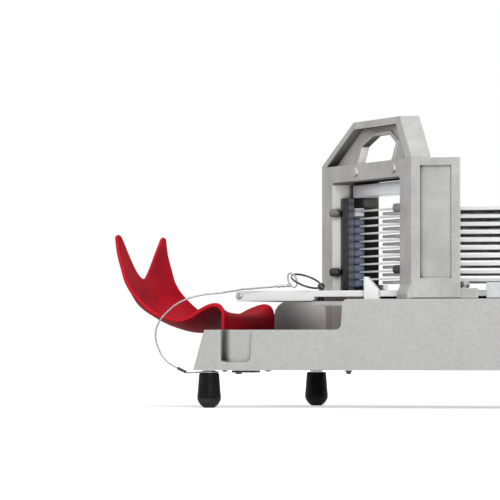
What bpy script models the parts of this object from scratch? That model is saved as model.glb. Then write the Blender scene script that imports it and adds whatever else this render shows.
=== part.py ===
"""Tomato slicer: a cast aluminium base and blade frame, a set of ten blades,
a hand pusher on two rails, a white slide board and a red slice catcher.

Units are metres, +Z is up and +X runs from the catcher to the pusher's end.
The origin is the middle of the outer box, on the surface the feet stand on.
The blade frame stands skew across the base, so its own pieces are drawn
square first and then slid along X in step with Y (see skew_mesh).
"""

import math

import bmesh
import bpy
from mathutils import Matrix, Vector

MM = 0.001

# Clearances
GAP = 0.3 * MM             # between pieces that touch
RUN = 0.5 * MM             # between pieces that slide on each other
OVER = 10.0 * MM           # reach of a cutter past the face it cuts
BITE = 2.0 * MM            # depth to which joined shapes run into each other
EDGE = 0.5 * MM            # broken edge of turned pieces

# Feet
FOOT_HEIGHT = 28.2 * MM
FOOT_TOP_RADIUS = 8.2 * MM
FOOT_WIDE_RADIUS = 9.6 * MM
FOOT_SOLE = 4.2 * MM       # radius of the flat under the foot
FOOT_DOME = 7.4 * MM       # height of the rounded end
FOOT_BAND = 2.0 * MM       # straight part above it
FOOT_CURVE = ((0.0, 0.0), (0.47, 0.28), (0.80, 0.62), (0.95, 0.86), (1.0, 1.0))
FOOT_EDGE = 1.3 * MM       # broken edge at the foot's top
WASHER_HEIGHT = 1.7 * MM
WASHER_RADIUS = 5.4 * MM
FOOT_INSET_END = 10.6 * MM  # foot centre from the end of the base
FOOT_INSET_SIDE = 9.0 * MM
FOOT_STAGGER = 32.0 * MM   # the other two feet stand further in

# Base casting
BASE_LEFT = -210.5 * MM
BASE_RIGHT = 210.0 * MM
BASE_WIDTH = 190.0 * MM
BASE_HEIGHT = 57.0 * MM
LOW_WALL = 32.5 * MM       # height of the near wall beside the catcher
LOW_WALL_END = -89.0 * MM  # where the near wall starts to rise
WALL_RISE_RUN = 10.0 * MM
WALL_CREST = 4.0 * MM      # rounding where the near wall reaches full height
END_WALL_HEIGHT = 27.0 * MM
END_WALL_SLANT = 9.7 * MM  # lean of the end wall over the low wall's height
END_WALL = 2.6 * MM
WALL = 8.0 * MM
FLOOR = 4.5 * MM
FAR_CORNER = 12.0 * MM     # rounding of the far wall's top corner
FAR_SLANT = 4.6 * MM       # lean of the far wall's end below that corner
DECK = 5.0 * MM
DECK_DROP = 0.5 * MM
DECK_LEFT = -77.0 * MM
POCKET_LEFT = -188.5 * MM
POCKET_LENGTH = 31.5 * MM
POCKET_DRAFT = 2.2 * MM    # lean of the pocket's sides over its depth
POCKET_DEPTH = 5.5 * MM
POCKET_FLOOR = 4.6 * MM
POCKET_CORNER = 5.0 * MM
POST_LEDGE = 27.0 * MM     # depth of the ledge that carries the far post
TONGUE_WIDTH = 14.0 * MM
TONGUE_PAST_PIN = 5.0 * MM
TONGUE_TOP = 0.9 * MM      # tongue's faces below the deck's
TONGUE_BOTTOM = 4.6 * MM
RIB_WIDTH = 6.0 * MM
RIB_OFFSET = 41.0 * MM     # support ribs' distance from the middle

# Slide board
BOARD_TOP = 7.8 * MM       # above the deck
BOARD_THICKNESS = 5.0 * MM
BOARD_SIDE_GAP = 8.5 * MM  # between the board and the guide shoes
BOARD_LEFT = -188.0 * MM
BOARD_RIGHT = 196.0 * MM
BOARD_STEP = -120.4 * MM   # end of the thick part
BOARD_LIP = 8.3 * MM       # thickness there
BOARD_EDGE = 1.6 * MM
EDGE_SCREW_RADIUS = 2.4 * MM
EDGE_SCREW_HEAD = 1.4 * MM
EDGE_SCREW_IN = 3.4 * MM
GUIDE_LEFT = -76.0 * MM    # corner guide beside the board
GUIDE_LENGTH = 12.6 * MM
GUIDE_CREST = 3.0 * MM
GUIDE_LOW = 7.6 * MM
GUIDE_HEIGHT = 18.4 * MM
GUIDE_WIDTH = 6.0 * MM

# Blade frame, before it is slid askew
FRAME_X = -95.5 * MM       # output face on the middle line
FRAME_SKEW = 0.742         # slide along X for each unit of Y
FRAME_DEPTH = 41.0 * MM
FRAME_TOP_DEPTH = 22.0 * MM
POST_WIDTH = 23.0 * MM
POST_HEIGHT = 113.2 * MM
TOP_RISE = 34.4 * MM       # frame's top above its shoulders
FRAME_TOP_WIDTH = 98.0 * MM
CROSSBAR_BOTTOM = 98.4 * MM
CROSSBAR_TOP = 112.0 * MM
WINDOW_CORNER = 2.0 * MM
HAND_HOLE_WIDTH = 72.0 * MM
HAND_HOLE_BAR = 13.0 * MM  # top of the hole below the frame's top
HAND_HOLE_CORNER = 0.354   # height of its cut corners, as a share of the hole's
HAND_HOLE_RUN = 0.264      # their width, as a share of the hole's
FRAME_RIM = 7.3 * MM
TOP_RIM = 6.0 * MM
WEB_FRONT = 8.8 * MM       # web behind the frame's front face
WEB_THICKNESS = 4.6 * MM
REAR_RIM = 3.0 * MM        # rim behind the web, above the crossbar
HOLE_RIM = 3.2 * MM        # raised rim round the hand hole
HOLE_RIM_HEIGHT = 1.0 * MM
POST_RECESS = 3.0 * MM     # hollow on the outer side of each post
FOOT_FLARE = 3.0 * MM
FOOT_FLARE_HEIGHT = 8.0 * MM
FOOT_STEP = 0.8 * MM       # foot's sides and sole stand off the post's
LUG_LENGTH = 15.0 * MM
BOSS_RADIUS = 3.9 * MM
BOSS_HEIGHT = 2.2 * MM
BOSS_PLACES = (-60.0 * MM, 20.0 * MM)

# Bolts that hold the frame
BOLT_HEAD = 5.0 * MM
BOLT_RADIUS = 5.2 * MM

# Blade set, depths measured from the output face
BLADE_COUNT = 10
BLADE_PITCH = 6.35 * MM
BLADE_FIRST = 18.2 * MM    # lowest blade above the deck
BLADE_THICKNESS = 1.3 * MM
BLADE_FRONT = 23.0 * MM
BLADE_WIDTH = 12.0 * MM
BLADE_BEVEL = 3.0 * MM
HOLDER_FRONT = 7.0 * MM
HOLDER_DEPTH = 4.8 * MM
HOLDER_WIDTH = 5.2 * MM
HOLDER_BOTTOM = 9.0 * MM   # above the deck
HOLDER_TOP = 86.0 * MM
CLAMP_DEPTH = 5.4 * MM
CLAMP_WIDTH = 4.7 * MM
SPACER_DEPTH = 9.0 * MM
SPACER_WIDTH = 3.6 * MM
SPACER_SPINE = 1.0 * MM    # strip behind the blades' ends
SPACER_CAP = 0.8 * MM
END_BLOCK_CAP = 1.6 * MM   # end block's reach above the top blade
TOP_PLATE_FRONT = 18.0 * MM
TOP_PLATE_DEPTH = 20.0 * MM
SCREW_HEAD_RADIUS = 3.5 * MM
SCREW_HEAD = 7.5 * MM
SCREW_CHAMFER = 1.4 * MM
SCREW_NECK_RADIUS = 2.4 * MM
SCREW_NECK = 3.0 * MM
SCREW_HEIGHTS = (24.5 * MM, 73.9 * MM)   # above the deck
SCREW_IN = 4.2 * MM        # screw axis from the post's inner face

# Lock pin, its split ring and the lanyard
PIN_X = -117.8 * MM
PIN_IN = 10.0 * MM         # from the board's near side
PIN_RADIUS = 1.9 * MM
PIN_BELOW = 4.4 * MM       # pin's reach below the deck's face
PIN_POINT = 0.8 * MM       # broken edge of the pin's tip
PIN_EYE_RADIUS = 2.9 * MM
PIN_EYE_BORE = 1.3 * MM
PIN_EYE_HEIGHT = 3.5 * MM  # eye's centre above the board
RING_RADIUS = 12.8 * MM
RING_WIRE = 0.8 * MM
RING_LEAN = Vector((-0.8885, -0.3234, 0.3256))     # from the pin's eye over the ring
RING_NORMAL = Vector((0.4016, -0.2050, 0.8925))
CABLE_RADIUS = 0.7 * MM
CRIMP_RADIUS = 1.3 * MM
CRIMP_LENGTH = 8.0 * MM
EYE_HALF_LENGTH = 3.3 * MM  # wire eye that holds the ring
EYE_HALF_HEIGHT = 6.0 * MM
EYE_FROM_PIN = Vector((-21.9, -8.3, 5.0)) * MM   # wire eye's centre from the pin's
EYE_JOIN = math.radians(215.0)   # where the ferrule meets the eye
FOOT_LOOP_RADIUS = 7.2 * MM
ROUTE_SIDE = 95.0 * MM     # near side's distance from the middle in the lanyard's path

# Slice catcher
CATCHER_WIDTH = 122.0 * MM
CATCHER_TIP_WIDTH = 111.6 * MM
CATCHER_SHEET = 3.4 * MM
CATCHER_NOTCH = 40.2 * MM  # depth of the notch between its two horns
NOTCH_POWER = 0.67         # how its sides curve
NOTCH_ROUND = 0.42         # how wide its bottom is rounded
HORN_DROP = 5.4 * MM       # rounding of the horns' outer corners
HORN_FLAT = 0.86           # share of the half width where it starts
CATCHER_FLANGE = 197.6 * MM  # middle of the hooked flange left of centre
CATCHER_TROUGH = 117.0 * MM  # way down the sheet to where the notch shifts nothing
CATCHER_FLARE = 20.0 * MM  # way beyond it over which the sheet widens
CATCHER_STEP = 5.0 * MM    # way between two rows of the sheet
CATCHER_COLUMNS = 25
CATCHER_REST_WIDTH = 24.0 * MM   # raised part of the end wall under the arch
REST_IN = 4.0 * MM         # from the base's left end
REST_DEPTH = 6.0 * MM
REST_HEIGHT = 36.0 * MM    # above the base's underside, at its lower side
REST_RISE = 1.6 * MM
CATCHER_HOOK = 12.0 * MM   # flange's reach below the end wall's top

# Pusher
TIP_DEPTH = 42.0 * MM      # fingers' tips behind the output face, as photographed
FINGER_THICKNESS = 2.6 * MM
FINGER_DROP = 2.5 * MM     # finger's middle under the blade above it
FINGER_SIDE_GAP = 1.6 * MM  # between the fingers and the spacers
FINGER_SPINE = 10.0 * MM   # solid back of the finger block
CARRIAGE_FRONT = 52.0 * MM
CARRIAGE_PLATE = 9.0 * MM
CARRIAGE_LENGTH = 40.0 * MM
CARRIAGE_TOP = 80.0 * MM   # above the deck
CARRIAGE_FOOT = 7.0 * MM
PUSHER_TRAVEL = 103.0 * MM  # back from the photographed place
ARM_INSET = 16.5 * MM      # arm's middle from the finger block's side
ARM_WIDTH = 8.0 * MM
ARM_HEEL = 10.0 * MM       # upright part of the arm's back edge
ARM_EYE_RADIUS = 11.0 * MM
ARM_DROP = 3.0 * MM        # arm's top edge below the carriage plate's
GRIP_X = 116.0 * MM
GRIP_HEIGHT = 63.0 * MM    # grip axis above the deck
GRIP_RADIUS = 14.0 * MM
GRIP_WAIST = 1.2 * MM      # depth of the two hollows along the grip
GRIP_ROD_RADIUS = 4.5 * MM
NUT_LENGTH = 7.0 * MM
NUT_RADIUS = 7.5 * MM
SHOE_WIDTH = 19.0 * MM
SHOE_HEIGHT = 9.3 * MM
RAIL_PAST_TRAVEL = 8.0 * MM
RAIL_AHEAD = 15.0 * MM     # rail in front of the carriage: 12 mm of travel and a stop
RAIL_SET_IN = 1.0 * MM     # rail's outer side from the base's
RAIL_FOOT = 10.0 * MM
RAIL_REACH = 18.0 * MM
RAIL_LIP = 3.5 * MM
RAIL_SCREW_RADIUS = 3.4 * MM
RAIL_SCREW_HEAD = 2.2 * MM
RAIL_SCREW_IN = 14.0 * MM
COMB_BOLT_RADIUS = 4.0 * MM
COMB_BOLT_HEAD = 4.5 * MM
COMB_BOLT_PITCH = 30.0 * MM

# Plate under the base
PLATE_X = -171.8 * MM
PLATE_LENGTH = 20.0 * MM
PLATE_WIDTH = 12.0 * MM
PLATE_SET_IN = 13.0 * MM   # plate's edge from the near side
PLATE_THICKNESS = 1.8 * MM
PLATE_NUT_RADIUS = 2.8 * MM
PLATE_NUT = 1.2 * MM
PLATE_NUT_OFFSET = 6.4 * MM

# Worked-out places
BASE_BOTTOM = FOOT_HEIGHT + WASHER_HEIGHT + 2.0 * GAP
WALL_TOP = BASE_BOTTOM + BASE_HEIGHT
DECK_TOP = WALL_TOP - DECK_DROP
HALF_WIDTH = BASE_WIDTH / 2.0
INNER_Y = HALF_WIDTH - WALL
BOARD_Z = DECK_TOP + BOARD_TOP
FRAME_BOTTOM = WALL_TOP + GAP
OPENING_Y = HALF_WIDTH - POST_WIDTH
SIDE_Y = OPENING_Y - GAP
FRAME_HEIGHT = POST_HEIGHT + TOP_RISE
HAND_HOLE_HEIGHT = FRAME_HEIGHT - CROSSBAR_TOP - HAND_HOLE_BAR
BLADE_Z = [DECK_TOP + BLADE_FIRST + BLADE_PITCH * i for i in range(BLADE_COUNT)]
GRIP_Z = DECK_TOP + GRIP_HEIGHT
RAIL_Y = HALF_WIDTH - RAIL_SET_IN
RAIL_LEFT = CARRIAGE_FRONT - RAIL_AHEAD
RAIL_RIGHT = CARRIAGE_FRONT + CARRIAGE_LENGTH + PUSHER_TRAVEL + RAIL_PAST_TRAVEL
SHOE_Y = RAIL_Y - RAIL_FOOT - RUN
BOARD_WIDTH = 2.0 * (SHOE_Y - SHOE_WIDTH - BOARD_SIDE_GAP)
FINGER_WIDTH = 2.0 * (SIDE_Y - SPACER_WIDTH - FINGER_SIDE_GAP)
ARM_OFFSET = FINGER_WIDTH / 2.0 - ARM_INSET
PIN_Y = PIN_IN - BOARD_WIDTH / 2.0
PIN_EYE_Z = BOARD_Z + PIN_EYE_HEIGHT
EYE_CENTRE = Vector((PIN_X, PIN_Y, PIN_EYE_Z)) + EYE_FROM_PIN
ROUTE_SHIFT = Vector((0.0, ROUTE_SIDE - HALF_WIDTH, 0.0))   # keeps the path at the near side

# Lanyard's path from the ring's ferrule to the foot's, in millimetres
CABLE_ROUTE = (
    (-152.3, -57.2, 98.3), (-158.5, -58.6, 97.6), (-164.8, -59.6, 97.2),
    (-173.7, -60.6, 96.4), (-180.3, -61.6, 96.0), (-186.0, -62.8, 94.9),
    (-192.0, -64.0, 94.0), (-198.2, -66.0, 93.0), (-209.2, -72.0, 91.8),
    (-220.3, -77.5, 88.8), (-230.5, -82.0, 83.4), (-239.5, -85.4, 74.6),
    (-244.3, -87.3, 66.6), (-245.6, -88.2, 58.6), (-244.0, -88.4, 50.6),
    (-240.5, -88.2, 43.0), (-237.0, -87.8, 38.6), (-233.5, -87.5, 35.6),
    (-230.2, -87.3, 33.7), (-227.0, -87.1, 32.2),
)

# Catcher's edge line from horn tip to arch, in millimetres: X, how far the
# middle sags below the edge there, and Z
CATCHER_ROWS = (
    (-293.3, -1.4, 145.9), (-291.3, 2.0, 128.0), (-287.7, 4.9, 114.0),
    (-283.6, 6.0, 101.5), (-275.5, 12.0, 90.2), (-260.8, 8.0, 77.4),
    (-248.6, 8.4, 72.8), (-237.6, 8.6, 70.9), (-226.6, 10.0, 74.4),
    (-216.4, 12.5, 79.8), (-206.6, 14.5, 83.2), (-200.4, 12.0, 82.0),
)
HOOK_ROWS = ((5.0, 76.0), (0.8, 68.0), (0.0, 58.0))   # sag and Z down the hook


def material(name, colour, roughness, metallic):
    """One Principled material of a colour, a roughness and a metallic value."""
    made = bpy.data.materials.new(name)
    made.use_nodes = True
    shader = made.node_tree.nodes["Principled BSDF"]
    shader.inputs["Base Color"].default_value = (*colour, 1.0)
    shader.inputs["Roughness"].default_value = roughness
    shader.inputs["Metallic"].default_value = metallic
    made.diffuse_color = (*colour, 1.0)
    return made


FINISHES = {
    "cast": ((0.62, 0.62, 0.61), 0.45, 0.85),
    "steel": ((0.60, 0.60, 0.60), 0.28, 1.0),
    "dark_steel": ((0.10, 0.10, 0.10), 0.45, 0.6),
    "blade": ((0.75, 0.76, 0.78), 0.15, 1.0),
    "white": ((0.88, 0.88, 0.88), 0.45, 0.0),
    "spacer": ((0.15, 0.19, 0.26), 0.50, 0.1),
    "red": ((0.55, 0.02, 0.04), 0.30, 0.0),
    "rubber": ((0.02, 0.02, 0.02), 0.60, 0.0),
    "grip": ((0.03, 0.03, 0.03), 0.45, 0.0),
    "wire": ((0.65, 0.65, 0.66), 0.35, 0.9),
}


class Maker:
    """Links each finished mesh to the scene under the object's own centre."""

    def __init__(self):
        self.root = self.empty("slicer", (0.0, 0.0, 0.0), None)
        self.left = BASE_LEFT

    def empty(self, name, place, parent):
        """An axis or a centre that pieces are parented to."""
        made = bpy.data.objects.new(name, None)
        bpy.context.scene.collection.objects.link(made)
        made.parent = parent
        made.location = place
        return made

    def piece(self, name, shape, finish, parent=None, origin=(0.0, 0.0, 0.0)):
        """A named piece from a bmesh drawn in the base's frame."""
        bmesh.ops.translate(shape, verts=shape.verts, vec=-Vector(origin))
        bmesh.ops.recalc_face_normals(shape, faces=shape.faces)
        mesh = bpy.data.meshes.new(name)
        shape.to_mesh(mesh)
        shape.free()
        mesh.shade_smooth()
        mesh.set_sharp_from_angle(angle=math.radians(32.0))
        mesh.materials.append(material(name + "_finish", *FINISHES[finish]))
        made = bpy.data.objects.new(name, mesh)
        bpy.context.scene.collection.objects.link(made)
        made.parent = parent or self.root
        made.location = (0.0, 0.0, 0.0) if parent else origin
        return made

    def cutter(self, name, shape, target, operation="DIFFERENCE"):
        """A hidden guide that is cut from, or joined to, a piece."""
        made = self.piece(name, shape, "cast")
        made.hide_render = True
        made.display_type = "WIRE"
        made.location = (0.0, 0.0, 0.0)
        change = target.modifiers.new(name, "BOOLEAN")
        change.object = made
        change.operation = operation
        change.solver = "EXACT"
        return made


def prism(outline, axis, low, high):
    """A flat outline carried along an axis from low to high."""
    order = {"X": lambda u, v, w: (w, u, v),
             "Y": lambda u, v, w: (u, w, v),
             "Z": lambda u, v, w: (u, v, w)}[axis]
    shape = bmesh.new()
    face = shape.faces.new([shape.verts.new(order(u, v, low)) for u, v in outline])
    ends = bmesh.ops.extrude_face_region(shape, geom=[face])["geom"]
    moved = [item for item in ends if isinstance(item, bmesh.types.BMVert)]
    bmesh.ops.translate(shape, verts=moved, vec=Vector(order(0.0, 0.0, high - low)))
    return shape


def block(x, y, z):
    """A box between the low and high value of each axis."""
    return prism([(x[0], y[0]), (x[1], y[0]), (x[1], y[1]), (x[0], y[1])], "Z", *z)


def turned(profile, sides, centre=(0.0, 0.0, 0.0), axis="Z"):
    """A closed solid turned from (radius, height) points about an axis."""
    shape = bmesh.new()
    rings = []
    for radius, height in profile:
        if radius < 1e-7:
            rings.append([shape.verts.new((0.0, 0.0, height))] * sides)
            continue
        turns = [2.0 * math.pi * i / sides for i in range(sides)]
        rings.append([shape.verts.new((radius * math.cos(a), radius * math.sin(a), height))
                      for a in turns])
    for lower, upper in zip(rings, rings[1:]):
        for i in range(sides):
            j = (i + 1) % sides
            corners = dict.fromkeys((lower[i], lower[j], upper[j], upper[i]))
            if len(corners) > 2:
                shape.faces.new(list(corners))
    for ring in (rings[0], rings[-1]):
        if len(set(ring)) > 1:
            shape.faces.new(ring)
    turn = {"Z": Matrix.Identity(3),
            "X": Matrix.Rotation(math.radians(90.0), 3, "Y"),
            "Y": Matrix.Rotation(math.radians(-90.0), 3, "X")}[axis]
    bmesh.ops.rotate(shape, verts=shape.verts, cent=(0.0, 0.0, 0.0), matrix=turn)
    bmesh.ops.translate(shape, verts=shape.verts, vec=centre)
    return shape


def rod(radius, low, high, sides, centre=(0.0, 0.0, 0.0), axis="Z", edge=0.0):
    """A round bar between two heights, with an optional broken edge."""
    profile = [(radius - edge, low), (radius, low + edge), (radius, high - edge),
               (radius - edge, high)]
    if edge == 0.0:
        profile = [(radius, low), (radius, high)]
    return turned(profile, sides, centre, axis)


def torus(major, minor, turns, sides, placed, rise=None):
    """A closed ring, oval where it has a rise, moved to its place by a matrix."""
    rise = rise or major
    shape = bmesh.new()
    rings = []
    for i in range(turns):
        a = 2.0 * math.pi * i / turns
        ring = []
        for j in range(sides):
            b = 2.0 * math.pi * (j + 0.5) / sides
            middle = Vector((major * math.cos(a), rise * math.sin(a), 0.0))
            outward = Vector((rise * math.cos(a), major * math.sin(a), 0.0)).normalized()
            spot = middle + minor * math.cos(b) * outward + Vector((0.0, 0.0, minor * math.sin(b)))
            ring.append(shape.verts.new(placed @ spot))
        rings.append(ring)
    for i in range(turns):
        ring, following = rings[i], rings[(i + 1) % turns]
        for j in range(sides):
            k = (j + 1) % sides
            shape.faces.new((ring[j], following[j], following[k], ring[k]))
    return shape


def skew_mesh(shape):
    """Slide frame pieces along X in step with Y, into the base's frame."""
    for vert in shape.verts:
        vert.co.x += FRAME_X - FRAME_SKEW * vert.co.y
    return shape


def arc(centre, radius, start, end, steps):
    """Points on an arc, angles in degrees."""
    angles = [math.radians(start + (end - start) * i / steps) for i in range(steps + 1)]
    return [(centre[0] + radius * math.cos(a), centre[1] + radius * math.sin(a))
            for a in angles]


def smooth_route(points, spacing):
    """Evenly spaced points on a Catmull-Rom curve through the given points."""
    spots = [Vector(p) for p in points]
    ends = [2 * spots[0] - spots[1]] + spots + [2 * spots[-1] - spots[-2]]
    fine = []
    for a, b, c, d in zip(ends, ends[1:], ends[2:], ends[3:]):
        for step in range(24):
            t = step / 24.0
            fine.append(0.5 * (2 * b + (c - a) * t + (2 * a - 5 * b + 4 * c - d) * t * t
                               + (3 * b - a - 3 * c + d) * t ** 3))
    fine.append(spots[-1])
    length = sum((q - p).length for p, q in zip(fine, fine[1:]))
    count = round(length / spacing)
    route, travelled, goal = [fine[0]], 0.0, 1
    for p, q in zip(fine, fine[1:]):
        step = (q - p).length
        while goal < count and travelled + step >= goal * length / count:
            route.append(p.lerp(q, (goal * length / count - travelled) / step))
            goal += 1
        travelled += step
    return route + [fine[-1]]


def wall_profile():
    """Side outline of the high body: slanting left end, rounded top corner."""
    corner_z = WALL_TOP - FAR_CORNER
    corner_x = BASE_LEFT + FAR_SLANT
    return [(BASE_LEFT, BASE_BOTTOM), (BASE_RIGHT, BASE_BOTTOM), (BASE_RIGHT, WALL_TOP),
            *arc((corner_x + FAR_CORNER, corner_z), FAR_CORNER, 90.0, 180.0, 4)]


def low_wall_cut():
    """Outline of what is missing above the low near wall, with its fillets."""
    low = BASE_BOTTOM + LOW_WALL
    rise = WALL_TOP - low
    fillet = WALL_RISE_RUN / 2.0
    foot = arc((LOW_WALL_END, low + fillet), fillet, -90.0, -12.0, 5)
    crest_x = LOW_WALL_END + WALL_RISE_RUN
    crest = arc((crest_x, WALL_TOP - WALL_CREST), WALL_CREST, 168.0, 90.0, 3)
    slope = END_WALL_SLANT / LOW_WALL
    return [(BASE_LEFT - 2.0 * rise, low), (BASE_LEFT - 2.0 * rise, BASE_BOTTOM - rise),
            (BASE_LEFT - slope * rise, BASE_BOTTOM - rise),
            (BASE_LEFT + END_WALL_SLANT, low), *foot, *crest, (crest_x, WALL_TOP + rise),
            (BASE_LEFT - 2.0 * rise, WALL_TOP + rise)]


def add_base(maker):
    """The tray-shaped casting: walls, floor, deck, ledge, tongue and ribs."""
    base = maker.piece("base_casting", prism(wall_profile(), "Y", -HALF_WIDTH, HALF_WIDTH),
                       "cast")
    maker.cutter("low_wall_space", prism(low_wall_cut(), "Y", -HALF_WIDTH - OVER, INNER_Y),
                 base)
    slope = END_WALL_SLANT / LOW_WALL
    inside = BASE_LEFT + END_WALL
    floor_top = BASE_BOTTOM + FLOOR
    high = WALL_TOP + OVER
    bay = [(inside + slope * FLOOR, floor_top), (BASE_RIGHT - WALL, floor_top),
           (BASE_RIGHT - WALL, DECK_TOP - DECK), (DECK_LEFT, DECK_TOP - DECK),
           (DECK_LEFT, high), (inside + slope * (high - BASE_BOTTOM), high)]
    maker.cutter("tray_space", prism(bay, "Y", -INNER_Y, INNER_Y), base)
    end_top = BASE_BOTTOM + END_WALL_HEIGHT
    maker.cutter("end_wall_space", block((BASE_LEFT - OVER, POCKET_LEFT),
                                         (-INNER_Y, INNER_Y), (end_top, high)), base)
    maker.cutter("deck_recess", block((DECK_LEFT - OVER, BASE_RIGHT - WALL),
                                      (-INNER_Y, INNER_Y), (DECK_TOP, high)), base)
    left = POCKET_LEFT
    right = POCKET_LEFT + POCKET_LENGTH
    low = BASE_BOTTOM + POCKET_FLOOR + POCKET_CORNER
    slant = POCKET_CORNER / 2.0
    pocket = [(left, high), *arc((left + POCKET_CORNER, low), POCKET_CORNER, 180.0, 270.0, 3),
              *arc((right - slant - POCKET_CORNER, low), POCKET_CORNER, 270.0, 350.0, 3),
              (right, high)]
    hollow = prism(pocket, "Y", -HALF_WIDTH, -HALF_WIDTH + POCKET_DEPTH)
    centre = (left + right) / 2.0
    for vert in hollow.verts:
        depth = (vert.co.y + HALF_WIDTH) / POCKET_DEPTH
        vert.co.x += math.copysign(POCKET_DRAFT, centre - vert.co.x) * depth
        vert.co.z += POCKET_DRAFT * depth
        vert.co.y -= (1.0 - depth) * OVER
    maker.cutter("side_pocket", hollow, base)
    ledge = skew_mesh(block((0.0, FRAME_DEPTH), (OPENING_Y, INNER_Y + BITE),
                            (WALL_TOP - POST_LEDGE, WALL_TOP)))
    maker.cutter("far_post_ledge", ledge, base, "UNION")
    near = skew_mesh(block((0.0, FRAME_DEPTH + LUG_LENGTH), (-INNER_Y - BITE, -OPENING_Y),
                           (DECK_TOP - DECK / 2.0, WALL_TOP)))
    maker.cutter("near_post_ledge", near, base, "UNION")
    tongue = block((PIN_X - TONGUE_PAST_PIN, DECK_LEFT + OVER),
                   (PIN_Y - TONGUE_WIDTH / 2.0, PIN_Y + TONGUE_WIDTH / 2.0),
                   (DECK_TOP - TONGUE_BOTTOM, DECK_TOP - TONGUE_TOP))
    maker.cutter("pin_tongue", tongue, base, "UNION")
    rest_top = BASE_BOTTOM + REST_HEIGHT
    rest = [(BASE_LEFT + REST_IN, end_top - BITE), (BASE_LEFT + REST_IN + REST_DEPTH, end_top - BITE),
            (BASE_LEFT + REST_IN + REST_DEPTH, rest_top + REST_RISE),
            (BASE_LEFT + REST_IN, rest_top)]
    maker.cutter("catcher_rest", prism(rest, "Y", -CATCHER_REST_WIDTH / 2.0,
                                       CATCHER_REST_WIDTH / 2.0), base, "UNION")
    rib_top = BOARD_Z - BOARD_THICKNESS - GAP
    for side, name in ((1.0, "far_rib"), (-1.0, "near_rib")):
        edges = sorted((side * RIB_OFFSET - RIB_WIDTH / 2.0, side * RIB_OFFSET + RIB_WIDTH / 2.0))
        rib = block((DECK_LEFT + BITE, BASE_RIGHT - WALL - OVER), edges,
                    (DECK_TOP - DECK / 2.0, rib_top))
        maker.cutter(name, rib, base, "UNION")
    hole = rod(PIN_RADIUS + GAP, DECK_TOP - 2.0 * DECK, DECK_TOP + DECK, 16,
               (PIN_X, PIN_Y, 0.0))
    maker.cutter("pin_hole", hole, base)


def add_feet(maker):
    """Four rubber feet, and the washers between them and the base."""
    left = BASE_LEFT + FOOT_INSET_END
    right = -left
    side = HALF_WIDTH - FOOT_INSET_SIDE
    places = {"foot_near_left": (left, -side), "foot_far_left": (left + FOOT_STAGGER, side),
              "foot_near_right": (right - FOOT_STAGGER, -side), "foot_far_right": (right, side)}
    bulge = FOOT_WIDE_RADIUS - FOOT_SOLE
    profile = [*((FOOT_SOLE + bulge * out, FOOT_DOME * up) for out, up in FOOT_CURVE),
               (FOOT_WIDE_RADIUS, FOOT_DOME + FOOT_BAND),
               (FOOT_TOP_RADIUS, FOOT_HEIGHT - FOOT_EDGE),
               (FOOT_TOP_RADIUS - FOOT_EDGE, FOOT_HEIGHT)]
    low = FOOT_HEIGHT + GAP
    for name, (x, y) in places.items():
        maker.piece(name, turned(profile, 24), "rubber").location = (x, y, 0.0)
        washer = rod(WASHER_RADIUS, low, BASE_BOTTOM - GAP, 20, edge=EDGE)
        maker.piece(name.replace("foot", "washer"), washer, "steel").location = (x, y, 0.0)
    return places["foot_near_left"]


def frame_outline():
    """Outer outline of the frame, in Y and Z."""
    top = FRAME_BOTTOM + FRAME_HEIGHT
    shoulder = FRAME_BOTTOM + POST_HEIGHT
    half_top = FRAME_TOP_WIDTH / 2.0
    sole = FRAME_BOTTOM + FOOT_STEP
    return [(-HALF_WIDTH, sole), (HALF_WIDTH, sole), (HALF_WIDTH, shoulder),
            (half_top, top), (-half_top, top), (-HALF_WIDTH, shoulder)]


def taper_frame(shape):
    """Thin the frame towards its top: full depth at the shoulders."""
    shoulder = FRAME_BOTTOM + POST_HEIGHT
    rise = FRAME_HEIGHT - POST_HEIGHT
    middle = FRAME_DEPTH / 2.0
    everything = [*shape.verts, *shape.edges, *shape.faces]
    bmesh.ops.bisect_plane(shape, geom=everything, dist=1e-6,
                           plane_co=(0.0, 0.0, shoulder), plane_no=(0.0, 0.0, 1.0))
    for vert in shape.verts:
        share = max(0.0, (vert.co.z - shoulder) / rise)
        keep = 1.0 - share * (1.0 - FRAME_TOP_DEPTH / FRAME_DEPTH)
        vert.co.x = middle + (vert.co.x - middle) * keep
    return shape


def lean_web(shape):
    """Lean a web's cutter back as the tapered frame's front face leans."""
    shoulder = FRAME_BOTTOM + POST_HEIGHT
    run = (FRAME_DEPTH - FRAME_TOP_DEPTH) / 2.0
    for vert in shape.verts:
        vert.co.x += run * (vert.co.z - shoulder) / (FRAME_HEIGHT - POST_HEIGHT)
    return skew_mesh(shape)


def hand_hole_outline(margin=0.0):
    """The hand hole's outline in Y and Z, or one that stands outside it."""
    half = HAND_HOLE_WIDTH / 2.0 + margin
    low = FRAME_BOTTOM + CROSSBAR_TOP - margin
    high = low + HAND_HOLE_HEIGHT + 2.0 * margin
    cut = HAND_HOLE_CORNER * HAND_HOLE_HEIGHT
    run = HAND_HOLE_RUN * HAND_HOLE_WIDTH
    slope = math.hypot(cut, run)
    cut, run = (cut + margin * (1.0 - (slope - cut) / run),
                run + margin * (1.0 - (slope - run) / cut))
    corner = WINDOW_CORNER
    return [(half - corner, low), (half, low + corner), (half, high - cut),
            (half - run, high), (-half + run, high), (-half, high - cut),
            (-half, low + corner), (-half + corner, low)]


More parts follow.
